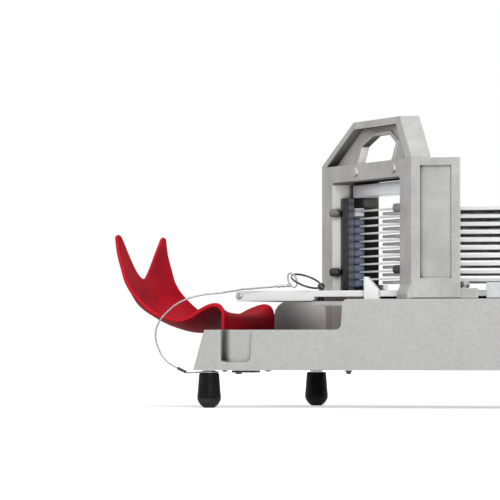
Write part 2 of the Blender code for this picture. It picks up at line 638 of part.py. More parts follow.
def web_pocket_outline():
    """The hollow inside the outer rim, above the crossbar, in Y and Z."""
    run = HALF_WIDTH - FRAME_TOP_WIDTH / 2.0
    rise = FRAME_HEIGHT - POST_HEIGHT
    low = FRAME_BOTTOM + CROSSBAR_TOP
    high = FRAME_BOTTOM + FRAME_HEIGHT - TOP_RIM
    reach = HALF_WIDTH - FRAME_RIM * math.hypot(run, rise) / rise
    shoulder = FRAME_BOTTOM + POST_HEIGHT
    outer_low = reach - (low - shoulder) * run / rise
    outer_high = reach - (high - shoulder) * run / rise
    return [(outer_low, low), (outer_high, high), (-outer_high, high), (-outer_low, low)]


def add_frame(maker):
    """The skew blade frame with its window, hand hole, pockets and lugs."""
    body = skew_mesh(taper_frame(prism(frame_outline(), "X", 0.0, FRAME_DEPTH)))
    frame = maker.piece("blade_frame", body, "cast")
    bar = FRAME_BOTTOM + CROSSBAR_BOTTOM
    corner = WINDOW_CORNER
    window = [(-OPENING_Y, FRAME_BOTTOM - OVER), (OPENING_Y, FRAME_BOTTOM - OVER),
              (OPENING_Y, bar - corner), (OPENING_Y - corner, bar),
              (-OPENING_Y + corner, bar), (-OPENING_Y, bar - corner)]
    maker.cutter("window_space", skew_mesh(prism(window, "X", -OVER, FRAME_DEPTH + OVER)), frame)
    pocket = web_pocket_outline()
    reach = FRAME_DEPTH + OVER
    behind = WEB_FRONT + WEB_THICKNESS
    maker.cutter("front_pocket", lean_web(prism(pocket, "X", -reach, WEB_FRONT)), frame)
    maker.cutter("rear_pocket", lean_web(prism(pocket, "X", behind, reach)), frame)
    low, high = FRAME_BOTTOM + CROSSBAR_TOP, FRAME_BOTTOM + FRAME_HEIGHT + OVER
    side = HALF_WIDTH + OVER
    above = [(-side, low), (side, low), (side, high), (-side, high)]
    maker.cutter("rear_step", lean_web(prism(above, "X", behind + REAR_RIM, reach)), frame)
    rim =prism(hand_hole_outline(HOLE_RIM), "X", WEB_FRONT - HOLE_RIM_HEIGHT,
                behind + HOLE_RIM_HEIGHT)
    maker.cutter("hole_rim", lean_web(rim), frame, "UNION")
    maker.cutter("hand_hole", skew_mesh(prism(hand_hole_outline(), "X", -OVER, reach)), frame)
    for side, name in ((1.0, "far_post_recess"), (-1.0, "near_post_recess")):
        edges = sorted((side * (HALF_WIDTH - POST_RECESS), side * (HALF_WIDTH + OVER)))
        recess = block((FRAME_RIM, FRAME_DEPTH - FRAME_RIM), edges,
                       (FRAME_BOTTOM + 2.0 * FOOT_FLARE_HEIGHT,
                        FRAME_BOTTOM + POST_HEIGHT - FRAME_RIM))
        maker.cutter(name, skew_mesh(recess), frame)
        feet = sorted((side * (OPENING_Y + FOOT_STEP), side * (HALF_WIDTH - FOOT_STEP)))
        flare = [(-FOOT_FLARE, FRAME_BOTTOM), (FRAME_DEPTH + LUG_LENGTH, FRAME_BOTTOM),
                 (FRAME_DEPTH + LUG_LENGTH, FRAME_BOTTOM + FOOT_FLARE_HEIGHT),
                 (FRAME_DEPTH - BITE, FRAME_BOTTOM + FOOT_FLARE_HEIGHT),
                 (BITE, FRAME_BOTTOM + 2.0 * FOOT_FLARE_HEIGHT),
                 (-FOOT_FLARE, FRAME_BOTTOM + FOOT_FLARE_HEIGHT / 2.0)]
        maker.cutter(name.replace("recess", "foot"), skew_mesh(prism(flare, "Y", *feet)),
                     frame, "UNION")
    for number, y in enumerate(BOSS_PLACES, 1):
        z = FRAME_BOTTOM + (CROSSBAR_BOTTOM + CROSSBAR_TOP) / 2.0
        boss = rod(BOSS_RADIUS, -BOSS_HEIGHT, BITE, 16, (0.0, y, z), "X", EDGE)
        maker.cutter("crossbar_boss_%d" % number, skew_mesh(boss), frame, "UNION")
    seat = FRAME_BOTTOM + FOOT_FLARE_HEIGHT + GAP
    for side, name in ((1.0, "frame_bolt_far"), (-1.0, "frame_bolt_near")):
        y = side * (OPENING_Y + POST_WIDTH / 2.0)
        x = FRAME_X - FRAME_SKEW * y + FRAME_DEPTH + LUG_LENGTH / 2.0
        maker.piece(name, rod(BOLT_RADIUS, seat, seat + BOLT_HEAD, 6, (x, y, 0.0)), "steel")


def add_blade_set(maker):
    """Ten blades clamped between spacers, with holders, clamps and screws."""
    low = DECK_TOP + HOLDER_BOTTOM
    high = DECK_TOP + HOLDER_TOP
    clamp_front = HOLDER_FRONT + HOLDER_DEPTH + GAP
    spacer_front = clamp_front + CLAMP_DEPTH + GAP
    half_blade = BLADE_THICKNESS / 2.0
    for side, place in ((1.0, "far"), (-1.0, "near")):
        def band(width):
            return sorted((side * SIDE_Y, side * (SIDE_Y - width)))
        holder = block((HOLDER_FRONT, HOLDER_FRONT + HOLDER_DEPTH), band(HOLDER_WIDTH),
                       (low, high))
        maker.piece("blade_holder_" + place, skew_mesh(holder), "dark_steel")
        clamp = block((clamp_front, clamp_front + CLAMP_DEPTH), band(CLAMP_WIDTH), (low, high))
        maker.piece("blade_clamp_" + place, skew_mesh(clamp), "spacer")
        outer, inner = side * SIDE_Y, side * (SIDE_Y - SPACER_WIDTH)
        slot = side * (SIDE_Y - SPACER_SPINE)
        stack_top = BLADE_Z[-2] + half_blade + GAP + SPACER_CAP
        comb = [(outer, stack_top), (outer, low), (inner, low)]
        for z in BLADE_Z[:-1]:
            below, above = z - half_blade - GAP, z + half_blade + GAP
            comb += [(inner, below), (slot, below), (slot, above), (inner, above)]
        comb.append((inner, stack_top))
        back = spacer_front + SPACER_DEPTH
        maker.piece("spacer_stack_" + place, skew_mesh(prism(comb, "X", spacer_front, back)),
                    "spacer")
        foot = stack_top + GAP
        below, above = BLADE_Z[-1] - half_blade - GAP, BLADE_Z[-1] + half_blade + GAP
        crown = above + END_BLOCK_CAP
        top = [(outer, crown), (outer, foot), (inner, foot), (inner, below), (slot, below),
               (slot, above), (inner, above), (inner, crown)]
        maker.piece("end_block_" + place, skew_mesh(prism(top, "X", spacer_front, back)), "white")
    reach = SIDE_Y - SPACER_SPINE - GAP
    for number, z in enumerate(BLADE_Z, 1):
        edge = BLADE_FRONT + BLADE_WIDTH
        outline = [(BLADE_FRONT, z - half_blade), (edge - BLADE_BEVEL, z - half_blade), (edge, z),
                   (edge - BLADE_BEVEL, z + half_blade), (BLADE_FRONT, z + half_blade)]
        maker.piece("blade_%02d" % number, skew_mesh(prism(outline, "Y", -reach, reach)),
                    "blade")
    plate = block((TOP_PLATE_FRONT, TOP_PLATE_FRONT + TOP_PLATE_DEPTH), (-SIDE_Y, SIDE_Y),
                  (high + GAP, FRAME_BOTTOM + CROSSBAR_BOTTOM - WINDOW_CORNER - GAP))
    maker.piece("cartridge_top_plate", skew_mesh(plate), "white")
    y = OPENING_Y - SCREW_IN
    seat = HOLDER_FRONT - GAP - FRAME_SKEW * SCREW_NECK_RADIUS
    neck = HOLDER_FRONT - SCREW_NECK
    profile = [(SCREW_HEAD_RADIUS - SCREW_CHAMFER, neck - SCREW_HEAD),
               (SCREW_HEAD_RADIUS, neck - SCREW_HEAD + SCREW_CHAMFER), (SCREW_HEAD_RADIUS, neck),
               (SCREW_NECK_RADIUS, neck), (SCREW_NECK_RADIUS, seat)]
    for side, place in ((1.0, "far"), (-1.0, "near")):
        for height, level in zip(SCREW_HEIGHTS, ("lower", "upper")):
            centre = (FRAME_X - FRAME_SKEW * side * y, side * y, DECK_TOP + height)
            maker.piece("cartridge_screw_%s_%s" % (place, level),
                        turned(profile, 16, centre, "X"), "dark_steel")


def add_board(maker):
    """The white slide board, its edge screw and the corner guide on it."""
    top = BOARD_Z
    half = BOARD_WIDTH / 2.0
    lip = top - BOARD_LIP
    outline = [(BOARD_LEFT + BOARD_EDGE, lip), (BOARD_STEP - BOARD_EDGE, lip),
               (BOARD_STEP, lip + BOARD_EDGE), (BOARD_STEP, top - BOARD_THICKNESS),
               (BOARD_RIGHT, top - BOARD_THICKNESS), (BOARD_RIGHT, top),
               (BOARD_LEFT + BOARD_EDGE, top), (BOARD_LEFT, top - BOARD_EDGE),
               (BOARD_LEFT, lip + BOARD_EDGE)]
    board = maker.piece("slide_board", prism(outline, "Y", -half, half), "white")
    hole = rod(PIN_RADIUS + GAP, lip - DECK, top + DECK, 16, (PIN_X, PIN_Y, 0.0))
    maker.cutter("board_pin_hole", hole, board)
    screw_z = top - BOARD_LIP / 2.0
    screw = rod(EDGE_SCREW_RADIUS, -half - GAP - EDGE_SCREW_HEAD, -half - GAP, 14,
                (BOARD_LEFT + EDGE_SCREW_IN, 0.0, screw_z), "Y", EDGE)
    maker.piece("board_edge_screw", screw, "steel")
    right = GUIDE_LEFT + GUIDE_LENGTH
    sole = DECK_TOP + GAP
    guide = [(GUIDE_LEFT, sole), (right, sole), (right, sole + GUIDE_LOW),
             (GUIDE_LEFT + GUIDE_CREST, sole + GUIDE_HEIGHT), (GUIDE_LEFT, sole + GUIDE_HEIGHT)]
    maker.piece("board_corner_guide",
                prism(guide, "Y", -half - GAP - GUIDE_WIDTH, -half - GAP), "white")


def add_lock_pin(maker):
    """The pin that holds the board, its ring and the lanyard with its ends."""
    axis = maker.empty("lock_pin_axis", (PIN_X, PIN_Y, PIN_EYE_Z), maker.root)
    centre = (PIN_X, PIN_Y, PIN_EYE_Z)
    tip = DECK_TOP - PIN_BELOW - PIN_EYE_Z
    ball = [(PIN_EYE_RADIUS * math.cos(a), PIN_EYE_RADIUS * math.sin(a))
            for a in (math.radians(d) for d in (-49.0, -28.0, -7.0, 14.0, 38.0, 64.0))]
    profile = [(0.0, tip), (PIN_RADIUS - PIN_POINT, tip), (PIN_RADIUS, tip + PIN_POINT), *ball,
               (0.0, PIN_EYE_RADIUS)]
    pin = maker.piece("lock_pin", turned(profile, 20, centre), "dark_steel", axis, centre)
    lean = RING_LEAN.normalized()
    across = RING_NORMAL.cross(lean).normalized()
    bore = rod(PIN_EYE_BORE, -2.0 * PIN_EYE_RADIUS, 2.0 * PIN_EYE_RADIUS, 14)
    aim = across.to_track_quat("Z", "Y").to_matrix()
    bmesh.ops.rotate(bore, verts=bore.verts, cent=(0.0, 0.0, 0.0), matrix=aim)
    bmesh.ops.translate(bore, verts=bore.verts, vec=centre)
    maker.cutter("pin_eye_bore", bore, pin)
    turn = Matrix((lean, across, lean.cross(across))).transposed().to_4x4()
    placed = Matrix.Translation(Vector(centre) + lean * RING_RADIUS) @ turn
    maker.piece("split_ring", torus(RING_RADIUS, RING_WIRE, 36, 8, placed), "dark_steel", axis,
                centre)
    route = [Vector(p) * MM + ROUTE_SHIFT for p in CABLE_ROUTE]
    add_eye_crimp(maker, axis, centre, route)
    cable = bpy.data.curves.new("lanyard_cable", "CURVE")
    cable.dimensions = "3D"
    cable.bevel_depth = CABLE_RADIUS
    cable.bevel_resolution = 2
    cable.use_fill_caps = True
    points = smooth_route(route, 5.2 * CABLE_RADIUS)
    spline = cable.splines.new("POLY")
    spline.points.add(len(points) - 1)
    for spot, point in zip(spline.points, points):
        spot.co = (*point, 1.0)
    cable.materials.append(material("lanyard_cable_finish", *FINISHES["wire"]))
    made = bpy.data.objects.new("lanyard_cable", cable)
    bpy.context.scene.collection.objects.link(made)
    made.parent = maker.root
    return route


def add_eye_crimp(maker, axis, centre, route):
    """A ferrule with an upright wire eye that is threaded on the split ring."""
    heading = (route[1] - route[0]).normalized()
    end = route[0] - heading * GAP
    ahead = (EYE_CENTRE - end).normalized()
    side = ahead.cross(Vector((0.0, 0.0, 1.0))).normalized()
    rising = side.cross(ahead)
    turn = Matrix((ahead, rising, ahead.cross(rising))).transposed().to_4x4()
    eye = torus(EYE_HALF_LENGTH, CABLE_RADIUS, 20, 8, Matrix.Translation(EYE_CENTRE) @ turn,
                EYE_HALF_HEIGHT)
    made = maker.piece("ring_crimp", eye, "steel", axis, centre)
    start = (EYE_CENTRE + ahead * EYE_HALF_LENGTH * math.cos(EYE_JOIN)
             + rising * EYE_HALF_HEIGHT * math.sin(EYE_JOIN))
    sleeve = rod(CRIMP_RADIUS, 0.0, (end - start).length, 12, edge=EDGE)
    aim = (end - start).to_track_quat("Z", "Y").to_matrix()
    bmesh.ops.rotate(sleeve, verts=sleeve.verts, cent=(0.0, 0.0, 0.0), matrix=aim)
    bmesh.ops.translate(sleeve, verts=sleeve.verts, vec=start)
    maker.cutter("ring_sleeve", sleeve, made, "UNION")


def add_foot_end(maker, route, foot):
    """The lanyard's lower ferrule and the wire loop round the foot's neck."""
    heading = (route[-1] - route[-2]).normalized()
    start = route[-1] + heading * GAP
    end = start + heading * CRIMP_LENGTH
    sleeve = rod(CRIMP_RADIUS, 0.0, CRIMP_LENGTH, 12, edge=EDGE)
    aim = heading.to_track_quat("Z", "Y").to_matrix()
    bmesh.ops.rotate(sleeve, verts=sleeve.verts, cent=(0.0, 0.0, 0.0), matrix=aim)
    bmesh.ops.translate(sleeve, verts=sleeve.verts, vec=start)
    maker.piece("foot_crimp", sleeve, "dark_steel")
    level = (FOOT_HEIGHT + BASE_BOTTOM) / 2.0
    centre = Vector((foot[0], foot[1], level))
    join = end + heading * (GAP + CABLE_RADIUS)
    round_neck = arc((centre.x, centre.y), FOOT_LOOP_RADIUS, -125.0, 125.0, 12)
    loop = [Vector((x, y, level)) for x, y in round_neck]
    first, last = loop[0], loop[-1]
    loop += [last.lerp(join, share) for share in (0.35, 0.7, 1.0)]
    loop += [first.lerp(join, share) for share in (0.7, 0.35)]
    curve = bpy.data.curves.new("foot_loop", "CURVE")
    curve.dimensions = "3D"
    curve.bevel_depth = CABLE_RADIUS
    curve.bevel_resolution = 2
    spline = curve.splines.new("POLY")
    spline.points.add(len(loop) - 1)
    spline.use_cyclic_u = True
    for spot, point in zip(spline.points, loop):
        spot.co = (*point, 1.0)
    curve.materials.append(material("foot_loop_finish", *FINISHES["wire"]))
    made = bpy.data.objects.new("foot_loop", curve)
    bpy.context.scene.collection.objects.link(made)
    made.parent = maker.root


def catcher_line():
    """The catcher's edge line from horn to hook, with the sag as its Y."""
    hook_low = BASE_BOTTOM + END_WALL_HEIGHT - CATCHER_HOOK
    rows = [Vector(row) * MM for row in CATCHER_ROWS]
    rows += [Vector((-CATCHER_FLANGE, sag * MM, z * MM)) for sag, z in HOOK_ROWS]
    rows.append(Vector((-CATCHER_FLANGE, 0.0, hook_low)))
    return smooth_route(rows, CATCHER_STEP)


def notch_depth(share):
    """How far the sheet's upper edge lies below the horn's tip at a share of its width."""
    rim = math.hypot(1.0, NOTCH_ROUND) ** NOTCH_POWER
    bottom = NOTCH_ROUND ** NOTCH_POWER
    depth = (rim - math.hypot(share, NOTCH_ROUND) ** NOTCH_POWER) / (rim - bottom)
    corner = max(0.0, abs(share) - HORN_FLAT) / (1.0 - HORN_FLAT)
    return CATCHER_NOTCH * depth + HORN_DROP * corner * corner


def catcher_face(shape, offset):
    """One face of the catcher's sheet, as rows of vertices."""
    line = catcher_line()
    step = (line[1] - line[0]).length
    last = len(line) - 1
    ahead = [line[min(i + 1, last)] - line[max(i - 1, 0)] for i in range(last + 1)]
    normals = [Vector((-a.z, 0.0, a.x)).normalized() for a in ahead]
    rows = []
    for i in range(last + 1):
        row = []
        for j in range(CATCHER_COLUMNS):
            share = -1.0 + 2.0 * j / (CATCHER_COLUMNS - 1)
            goal = i * step
            if goal < CATCHER_TROUGH:
                goal += notch_depth(share) * (1.0 - goal / CATCHER_TROUGH)
            k = min(int(goal / step), last - 1)
            spot = line[k].lerp(line[k + 1], goal / step - k)
            normal = normals[k].lerp(normals[k + 1], goal / step - k).normalized()
            lift = offset - spot.y * (1.0 - share * share)
            flare = min(1.0, max(0.0, (goal - CATCHER_TROUGH) / CATCHER_FLARE))
            half = (CATCHER_TIP_WIDTH + flare * (CATCHER_WIDTH - CATCHER_TIP_WIDTH)) / 2.0
            row.append(shape.verts.new((spot.x + normal.x * lift, share * half,
                                        spot.z + normal.z * lift)))
        rows.append(row)
    return rows


def add_catcher(maker):
    """The red sheet: two horns, a trough and an arch that hooks on the wall."""
    shape = bmesh.new()
    under = catcher_face(shape, -CATCHER_SHEET / 2.0)
    upper = catcher_face(shape, CATCHER_SHEET / 2.0)
    last = CATCHER_COLUMNS - 1
    for i in range(len(under) - 1):
        for j in range(last):
            shape.faces.new((under[i][j], under[i][j + 1], under[i + 1][j + 1],
                             under[i + 1][j]))
            shape.faces.new((upper[i][j], upper[i + 1][j], upper[i + 1][j + 1],
                             upper[i][j + 1]))
        for j in (0, last):
            shape.faces.new((under[i][j], under[i + 1][j], upper[i + 1][j], upper[i][j]))
    for j in range(last):
        for i in (0, len(under) - 1):
            shape.faces.new((under[i][j], upper[i][j], upper[i][j + 1], under[i][j + 1]))
    maker.left = min(vert.co.x for vert in shape.verts)
    centre = (-CATCHER_FLANGE, 0.0, BASE_BOTTOM + END_WALL_HEIGHT)
    axis = maker.empty("slice_catcher_axis", centre, maker.root)
    maker.piece("slice_catcher", shape, "red", axis, centre)


def add_finger_block(maker, axis, centre):
    """The white block of ten fingers, slotted for the blades, with skew tips."""
    half = FINGER_WIDTH / 2.0
    front = FRAME_X - FRAME_SKEW * half - OVER
    back = CARRIAGE_FRONT - GAP
    root = back - FINGER_SPINE
    half_finger = FINGER_THICKNESS / 2.0
    middles = [z - FINGER_DROP for z in BLADE_Z]
    comb = [(back, middles[-1] + half_finger), (back, middles[0] - half_finger)]
    for middle in middles:
        comb += [(root, middle - half_finger), (front, middle - half_finger),
                 (front, middle + half_finger), (root, middle + half_finger)]
    del comb[2]
    del comb[-1]
    block_of_ten = maker.piece("pusher_fingers", prism(comb, "Y", -half, half), "white", axis,
                               centre)
    ahead = skew_mesh(block((-FINGER_WIDTH, TIP_DEPTH), (-half - OVER, half + OVER),
                            (middles[0] - BLADE_PITCH, middles[-1] + BLADE_PITCH)))
    maker.cutter("skew_tips", ahead, block_of_ten)


def add_pusher(maker):
    """Carriage, fingers, shoes, grip and bolts, all on the sliding axis."""
    centre = (CARRIAGE_FRONT, 0.0, DECK_TOP)
    axis = maker.empty("pusher_axis", centre, maker.root)
    add_finger_block(maker, axis, centre)
    shoe_low = DECK_TOP + GAP
    shoe_high = shoe_low + SHOE_HEIGHT
    foot_low = shoe_high + GAP
    foot_half = RAIL_Y - RAIL_REACH - RUN
    half = FINGER_WIDTH / 2.0
    back = CARRIAGE_FRONT + CARRIAGE_LENGTH
    top = DECK_TOP + CARRIAGE_TOP
    carriage = maker.piece("pusher_carriage",
                           block((CARRIAGE_FRONT, CARRIAGE_FRONT + CARRIAGE_PLATE),
                                 (-half, half), (foot_low, top)), "cast", axis, centre)
    foot = block((CARRIAGE_FRONT, back), (-foot_half, foot_half), (foot_low, foot_low + CARRIAGE_FOOT))
    maker.cutter("carriage_foot", foot, carriage, "UNION")
    rod_sides = 16
    for side, name in ((1.0, "far_arm"), (-1.0, "near_arm")):
        edges = sorted((side * (ARM_OFFSET - ARM_WIDTH / 2.0),
                        side * (ARM_OFFSET + ARM_WIDTH / 2.0)))
        inner = CARRIAGE_FRONT + CARRIAGE_PLATE / 2.0
        low = foot_low + CARRIAGE_FOOT / 2.0
        arm = [(inner, low), (back, low), (back, low + ARM_HEEL),
               *arc((GRIP_X, GRIP_Z), ARM_EYE_RADIUS, -50.0, 110.0, 7),
               (inner, top - ARM_DROP)]
        maker.cutter(name, prism(arm, "Y", *edges), carriage, "UNION")
    reach = ARM_OFFSET + ARM_WIDTH / 2.0
    bore = rod(GRIP_ROD_RADIUS + GAP, -reach - OVER, reach + OVER, rod_sides,
               (GRIP_X, 0.0, GRIP_Z), "Y")
    maker.cutter("grip_bore", bore, carriage)
    maker.piece("handle_rod", rod(GRIP_ROD_RADIUS, -reach - NUT_LENGTH, reach + NUT_LENGTH,
                                  rod_sides, (GRIP_X, 0.0, GRIP_Z), "Y"), "steel", axis, centre)
    inside = ARM_OFFSET - ARM_WIDTH / 2.0 - GAP
    end_radius = GRIP_RADIUS - 2.0 * GRIP_WAIST
    grip_profile = [(GRIP_ROD_RADIUS + GAP, -inside), (end_radius, -inside),
                    (GRIP_RADIUS, -inside + 2.0 * GRIP_WAIST),
                    (GRIP_RADIUS - GRIP_WAIST, -inside / 2.0), (GRIP_RADIUS, 0.0),
                    (GRIP_RADIUS - GRIP_WAIST, inside / 2.0),
                    (GRIP_RADIUS, inside - 2.0 * GRIP_WAIST),
                    (end_radius, inside), (GRIP_ROD_RADIUS + GAP, inside)]
    maker.piece("handle_grip", tube_of(grip_profile, 24, (GRIP_X, 0.0, GRIP_Z)), "grip", axis,
                centre)
    for side, place in ((1.0, "far"), (-1.0, "near")):
        ends = sorted((side * (reach + GAP), side * (reach + NUT_LENGTH)))
        nut = rod(NUT_RADIUS, *ends, 6, (GRIP_X, 0.0, GRIP_Z), "Y")
        made = maker.piece("handle_nut_" + place, nut, "steel", axis, centre)
        thread = rod(GRIP_ROD_RADIUS + GAP, ends[0] - OVER, ends[1] + OVER, rod_sides,
                     (GRIP_X, 0.0, GRIP_Z), "Y")
        maker.cutter("nut_thread_" + place, thread, made)
        edges = sorted((side * SHOE_Y, side * (SHOE_Y - SHOE_WIDTH)))
        shoe = block((CARRIAGE_FRONT, back), edges, (shoe_low, shoe_high))
        maker.piece("guide_shoe_" + place, shoe, "white", axis, centre)
    for number, y in enumerate((-COMB_BOLT_PITCH, 0.0, COMB_BOLT_PITCH), 1):
        face = CARRIAGE_FRONT + CARRIAGE_PLATE
        boss = rod(COMB_BOLT_RADIUS, face - BITE, face + COMB_BOLT_HEAD, 6,
                   (0.0, y, DECK_TOP + CARRIAGE_TOP / 2.0), "X")
        maker.cutter("comb_bolt_%d" % number, boss, carriage, "UNION")


def tube_of(profile, sides, centre):
    """A ring-shaped solid about an axis along Y, from a closed profile."""
    shape = bmesh.new()
    rings = []
    for i in range(sides):
        a = 2.0 * math.pi * i / sides
        rings.append([shape.verts.new((centre[0] + r * math.cos(a), centre[1] + h,
                                       centre[2] + r * math.sin(a))) for r, h in profile])
    count = len(profile)
    for i in range(sides):
        ring, following = rings[i], rings[(i + 1) % sides]
        for j in range(count):
            k = (j + 1) % count
            shape.faces.new((ring[j], following[j], following[k], ring[k]))
    return shape


def add_rails(maker):
    """Two rails that hold the shoes down, and their screws."""
    outer = RAIL_Y
    under_lip = DECK_TOP + GAP + SHOE_HEIGHT + RUN
    low = WALL_TOP + GAP
    for side, place in ((1.0, "far"), (-1.0, "near")):
        section = [(outer, low), (outer, under_lip + RAIL_LIP),
                   (outer - RAIL_REACH, under_lip + RAIL_LIP), (outer - RAIL_REACH, under_lip),
                   (outer - RAIL_FOOT, under_lip), (outer - RAIL_FOOT, low)]
        placed = [(side * y, z) for y, z in section]
        maker.piece("guide_rail_" + place, prism(placed, "X", RAIL_LEFT, RAIL_RIGHT), "steel")
        seat = under_lip + RAIL_LIP + GAP
        for x, end in ((RAIL_LEFT + RAIL_SCREW_IN, "left"), (RAIL_RIGHT - RAIL_SCREW_IN, "right")):
            spot = (x, side * (outer - RAIL_FOOT / 2.0), 0.0)
            screw = rod(RAIL_SCREW_RADIUS, seat, seat + RAIL_SCREW_HEAD, 14, spot,
                        edge=EDGE)
            maker.piece("rail_screw_%s_%s" % (place, end), screw, "steel")


def add_underside(maker):
    """The small plate under the tray, with its nut."""
    seat = BASE_BOTTOM - GAP
    low = seat - PLATE_THICKNESS
    half = PLATE_LENGTH / 2.0
    near = -HALF_WIDTH + PLATE_SET_IN
    plate = block((PLATE_X - half, PLATE_X + half), (near, near + PLATE_WIDTH), (low, seat))
    made = maker.piece("underside_plate", plate, "dark_steel")
    nut = rod(PLATE_NUT_RADIUS, low - PLATE_NUT, low + PLATE_THICKNESS / 2.0, 6,
              (PLATE_X - PLATE_NUT_OFFSET, near + PLATE_WIDTH / 2.0, 0.0))
    maker.cutter("plate_nut", nut, made, "UNION")


def main():
    """Clear the scene, then build every piece in order."""
    for old in list(bpy.data.objects):
        bpy.data.objects.remove(old, do_unlink=True)
    maker = Maker()
    add_base(maker)
    foot = add_feet(maker)
    add_frame(maker)
    add_blade_set(maker)
    add_board(maker)
    route = add_lock_pin(maker)
    add_foot_end(maker, route, foot)
    add_catcher(maker)
    add_pusher(maker)
    add_rails(maker)
    add_underside(maker)
    maker.root.location.x = -(maker.left + BASE_RIGHT) / 2.0


main()
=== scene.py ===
"""Looks of a tomato slicer: its finishes, finer pieces, floor, light and camera.

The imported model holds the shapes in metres: +X runs from the catcher to the
pusher's end, +Y to the far side and +Z up. Sizes below that start from the
base's middle are moved to the model's frame by BASE_X.
"""

import logging
import math
from dataclasses import dataclass
from enum import Enum
from functools import cached_property
from typing import Any, Callable, Iterable, Union

import bmesh
import bpy
import numpy as np
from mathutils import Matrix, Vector


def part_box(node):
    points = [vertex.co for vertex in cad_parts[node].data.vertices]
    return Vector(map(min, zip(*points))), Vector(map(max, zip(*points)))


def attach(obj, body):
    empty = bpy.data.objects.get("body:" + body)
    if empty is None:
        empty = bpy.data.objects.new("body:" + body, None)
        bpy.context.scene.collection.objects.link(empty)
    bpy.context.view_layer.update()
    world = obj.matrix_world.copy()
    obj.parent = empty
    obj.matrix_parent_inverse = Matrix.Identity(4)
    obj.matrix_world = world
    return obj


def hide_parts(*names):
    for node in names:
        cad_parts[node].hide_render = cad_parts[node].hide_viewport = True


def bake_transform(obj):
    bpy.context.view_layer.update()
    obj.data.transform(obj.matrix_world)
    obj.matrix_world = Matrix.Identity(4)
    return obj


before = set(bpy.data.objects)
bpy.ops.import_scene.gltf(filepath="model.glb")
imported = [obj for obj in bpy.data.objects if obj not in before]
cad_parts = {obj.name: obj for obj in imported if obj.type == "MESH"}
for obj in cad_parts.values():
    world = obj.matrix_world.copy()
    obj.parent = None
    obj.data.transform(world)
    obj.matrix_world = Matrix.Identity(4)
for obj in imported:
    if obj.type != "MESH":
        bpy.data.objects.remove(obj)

Array = np.ndarray
Triple = tuple[float, float, float]
Surface = tuple[Array, Array]
Profile = Iterable[tuple[float, float]]
Ripple = Callable[[Array, Array], Array]
Material = bpy.types.Material
Piece = bpy.types.Object
Socket = bpy.types.NodeSocket

LOG = logging.getLogger("tomato_slicer")
MM = 0.001
TURN = 2.0 * math.pi
UP, TO_FAR, TO_NEAR, TO_LEFT = ((0.0, 0.0, 1.0), (0.0, 1.0, 0.0), (0.0, -1.0, 0.0),
                                (-1.0, 0.0, 0.0))
ENDS = ("left", "right")
SHARP_OVER = math.radians(38.0)
WELD = 1e-6
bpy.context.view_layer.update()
BASE_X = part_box("base_casting")[1].x - 210.0 * MM
TRAY_LEFT = BASE_X - 195.0 * MM
POCKET_LEFT = BASE_X - 187.2 * MM
FACE_X = BASE_X - 95.5 * MM
SKEW = 0.742
POST_WIDTH = 23.0 * MM
BLADES = 10
FIRST_BLADE = 105.2 * MM
PITCH = 6.35 * MM
ROD_BORE = 4.8 * MM
STRANDS = 6
LAY = 9.0 * MM


class Side(Enum):
    """The two sides of the slicer, by the sign of their Y."""

    FAR = 1.0
    NEAR = -1.0

    def __str__(self) -> str:
        """The side's word in the names of pieces."""
        return self.name.lower()


class Body(Enum):
    """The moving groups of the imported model."""

    BASE = "base"
    PUSHER = "pusher"
    PIN = "lock_pin"
    CATCHER = "catcher"


# Shader maths


class Number:
    """A number that varies over a surface; arithmetic on it adds Math nodes."""

    def __init__(self, graph: "Graph", socket: Socket) -> None:
        """Keep the graph that the socket belongs to."""
        self.graph = graph
        self.socket = socket

    def __add__(self, other: "Value") -> "Number":
        """Sum of two values."""
        return self.graph.math("ADD", self, other)

    def __sub__(self, other: "Value") -> "Number":
        """Difference of two values."""
        return self.graph.math("SUBTRACT", self, other)

    def __rsub__(self, other: "Value") -> "Number":
        """Difference with this value last."""
        return self.graph.math("SUBTRACT", other, self)

    def __mul__(self, other: "Value") -> "Number":
        """Product of two values."""
        return self.graph.math("MULTIPLY", self, other)

    def __truediv__(self, other: "Value") -> "Number":
        """Quotient of two values."""
        return self.graph.math("DIVIDE", self, other)

    def __pow__(self, other: "Value") -> "Number":
        """This value raised to a power."""
        return self.graph.math("POWER", self, other)

    def __abs__(self) -> "Number":
        """This value without its sign."""
        return self.graph.math("ABSOLUTE", self, 0.0)

    __radd__ = __add__
    __rmul__ = __mul__

    def between(self, low: float, high: float) -> "Number":
        """A smooth step from 0 at low to 1 at high.

        Args:
            low: Value where the step starts.
            high: Value where the step ends; lower than low turns it round.

        Returns:
            The stepped number, held inside 0 and 1.
        """
        made = self.graph.node("MapRange", {"Value": self, "From Min": low, "From Max": high},
                               interpolation_type="SMOOTHSTEP")
        return Number(self.graph, made.outputs["Result"])


Value = Union[float, Number]


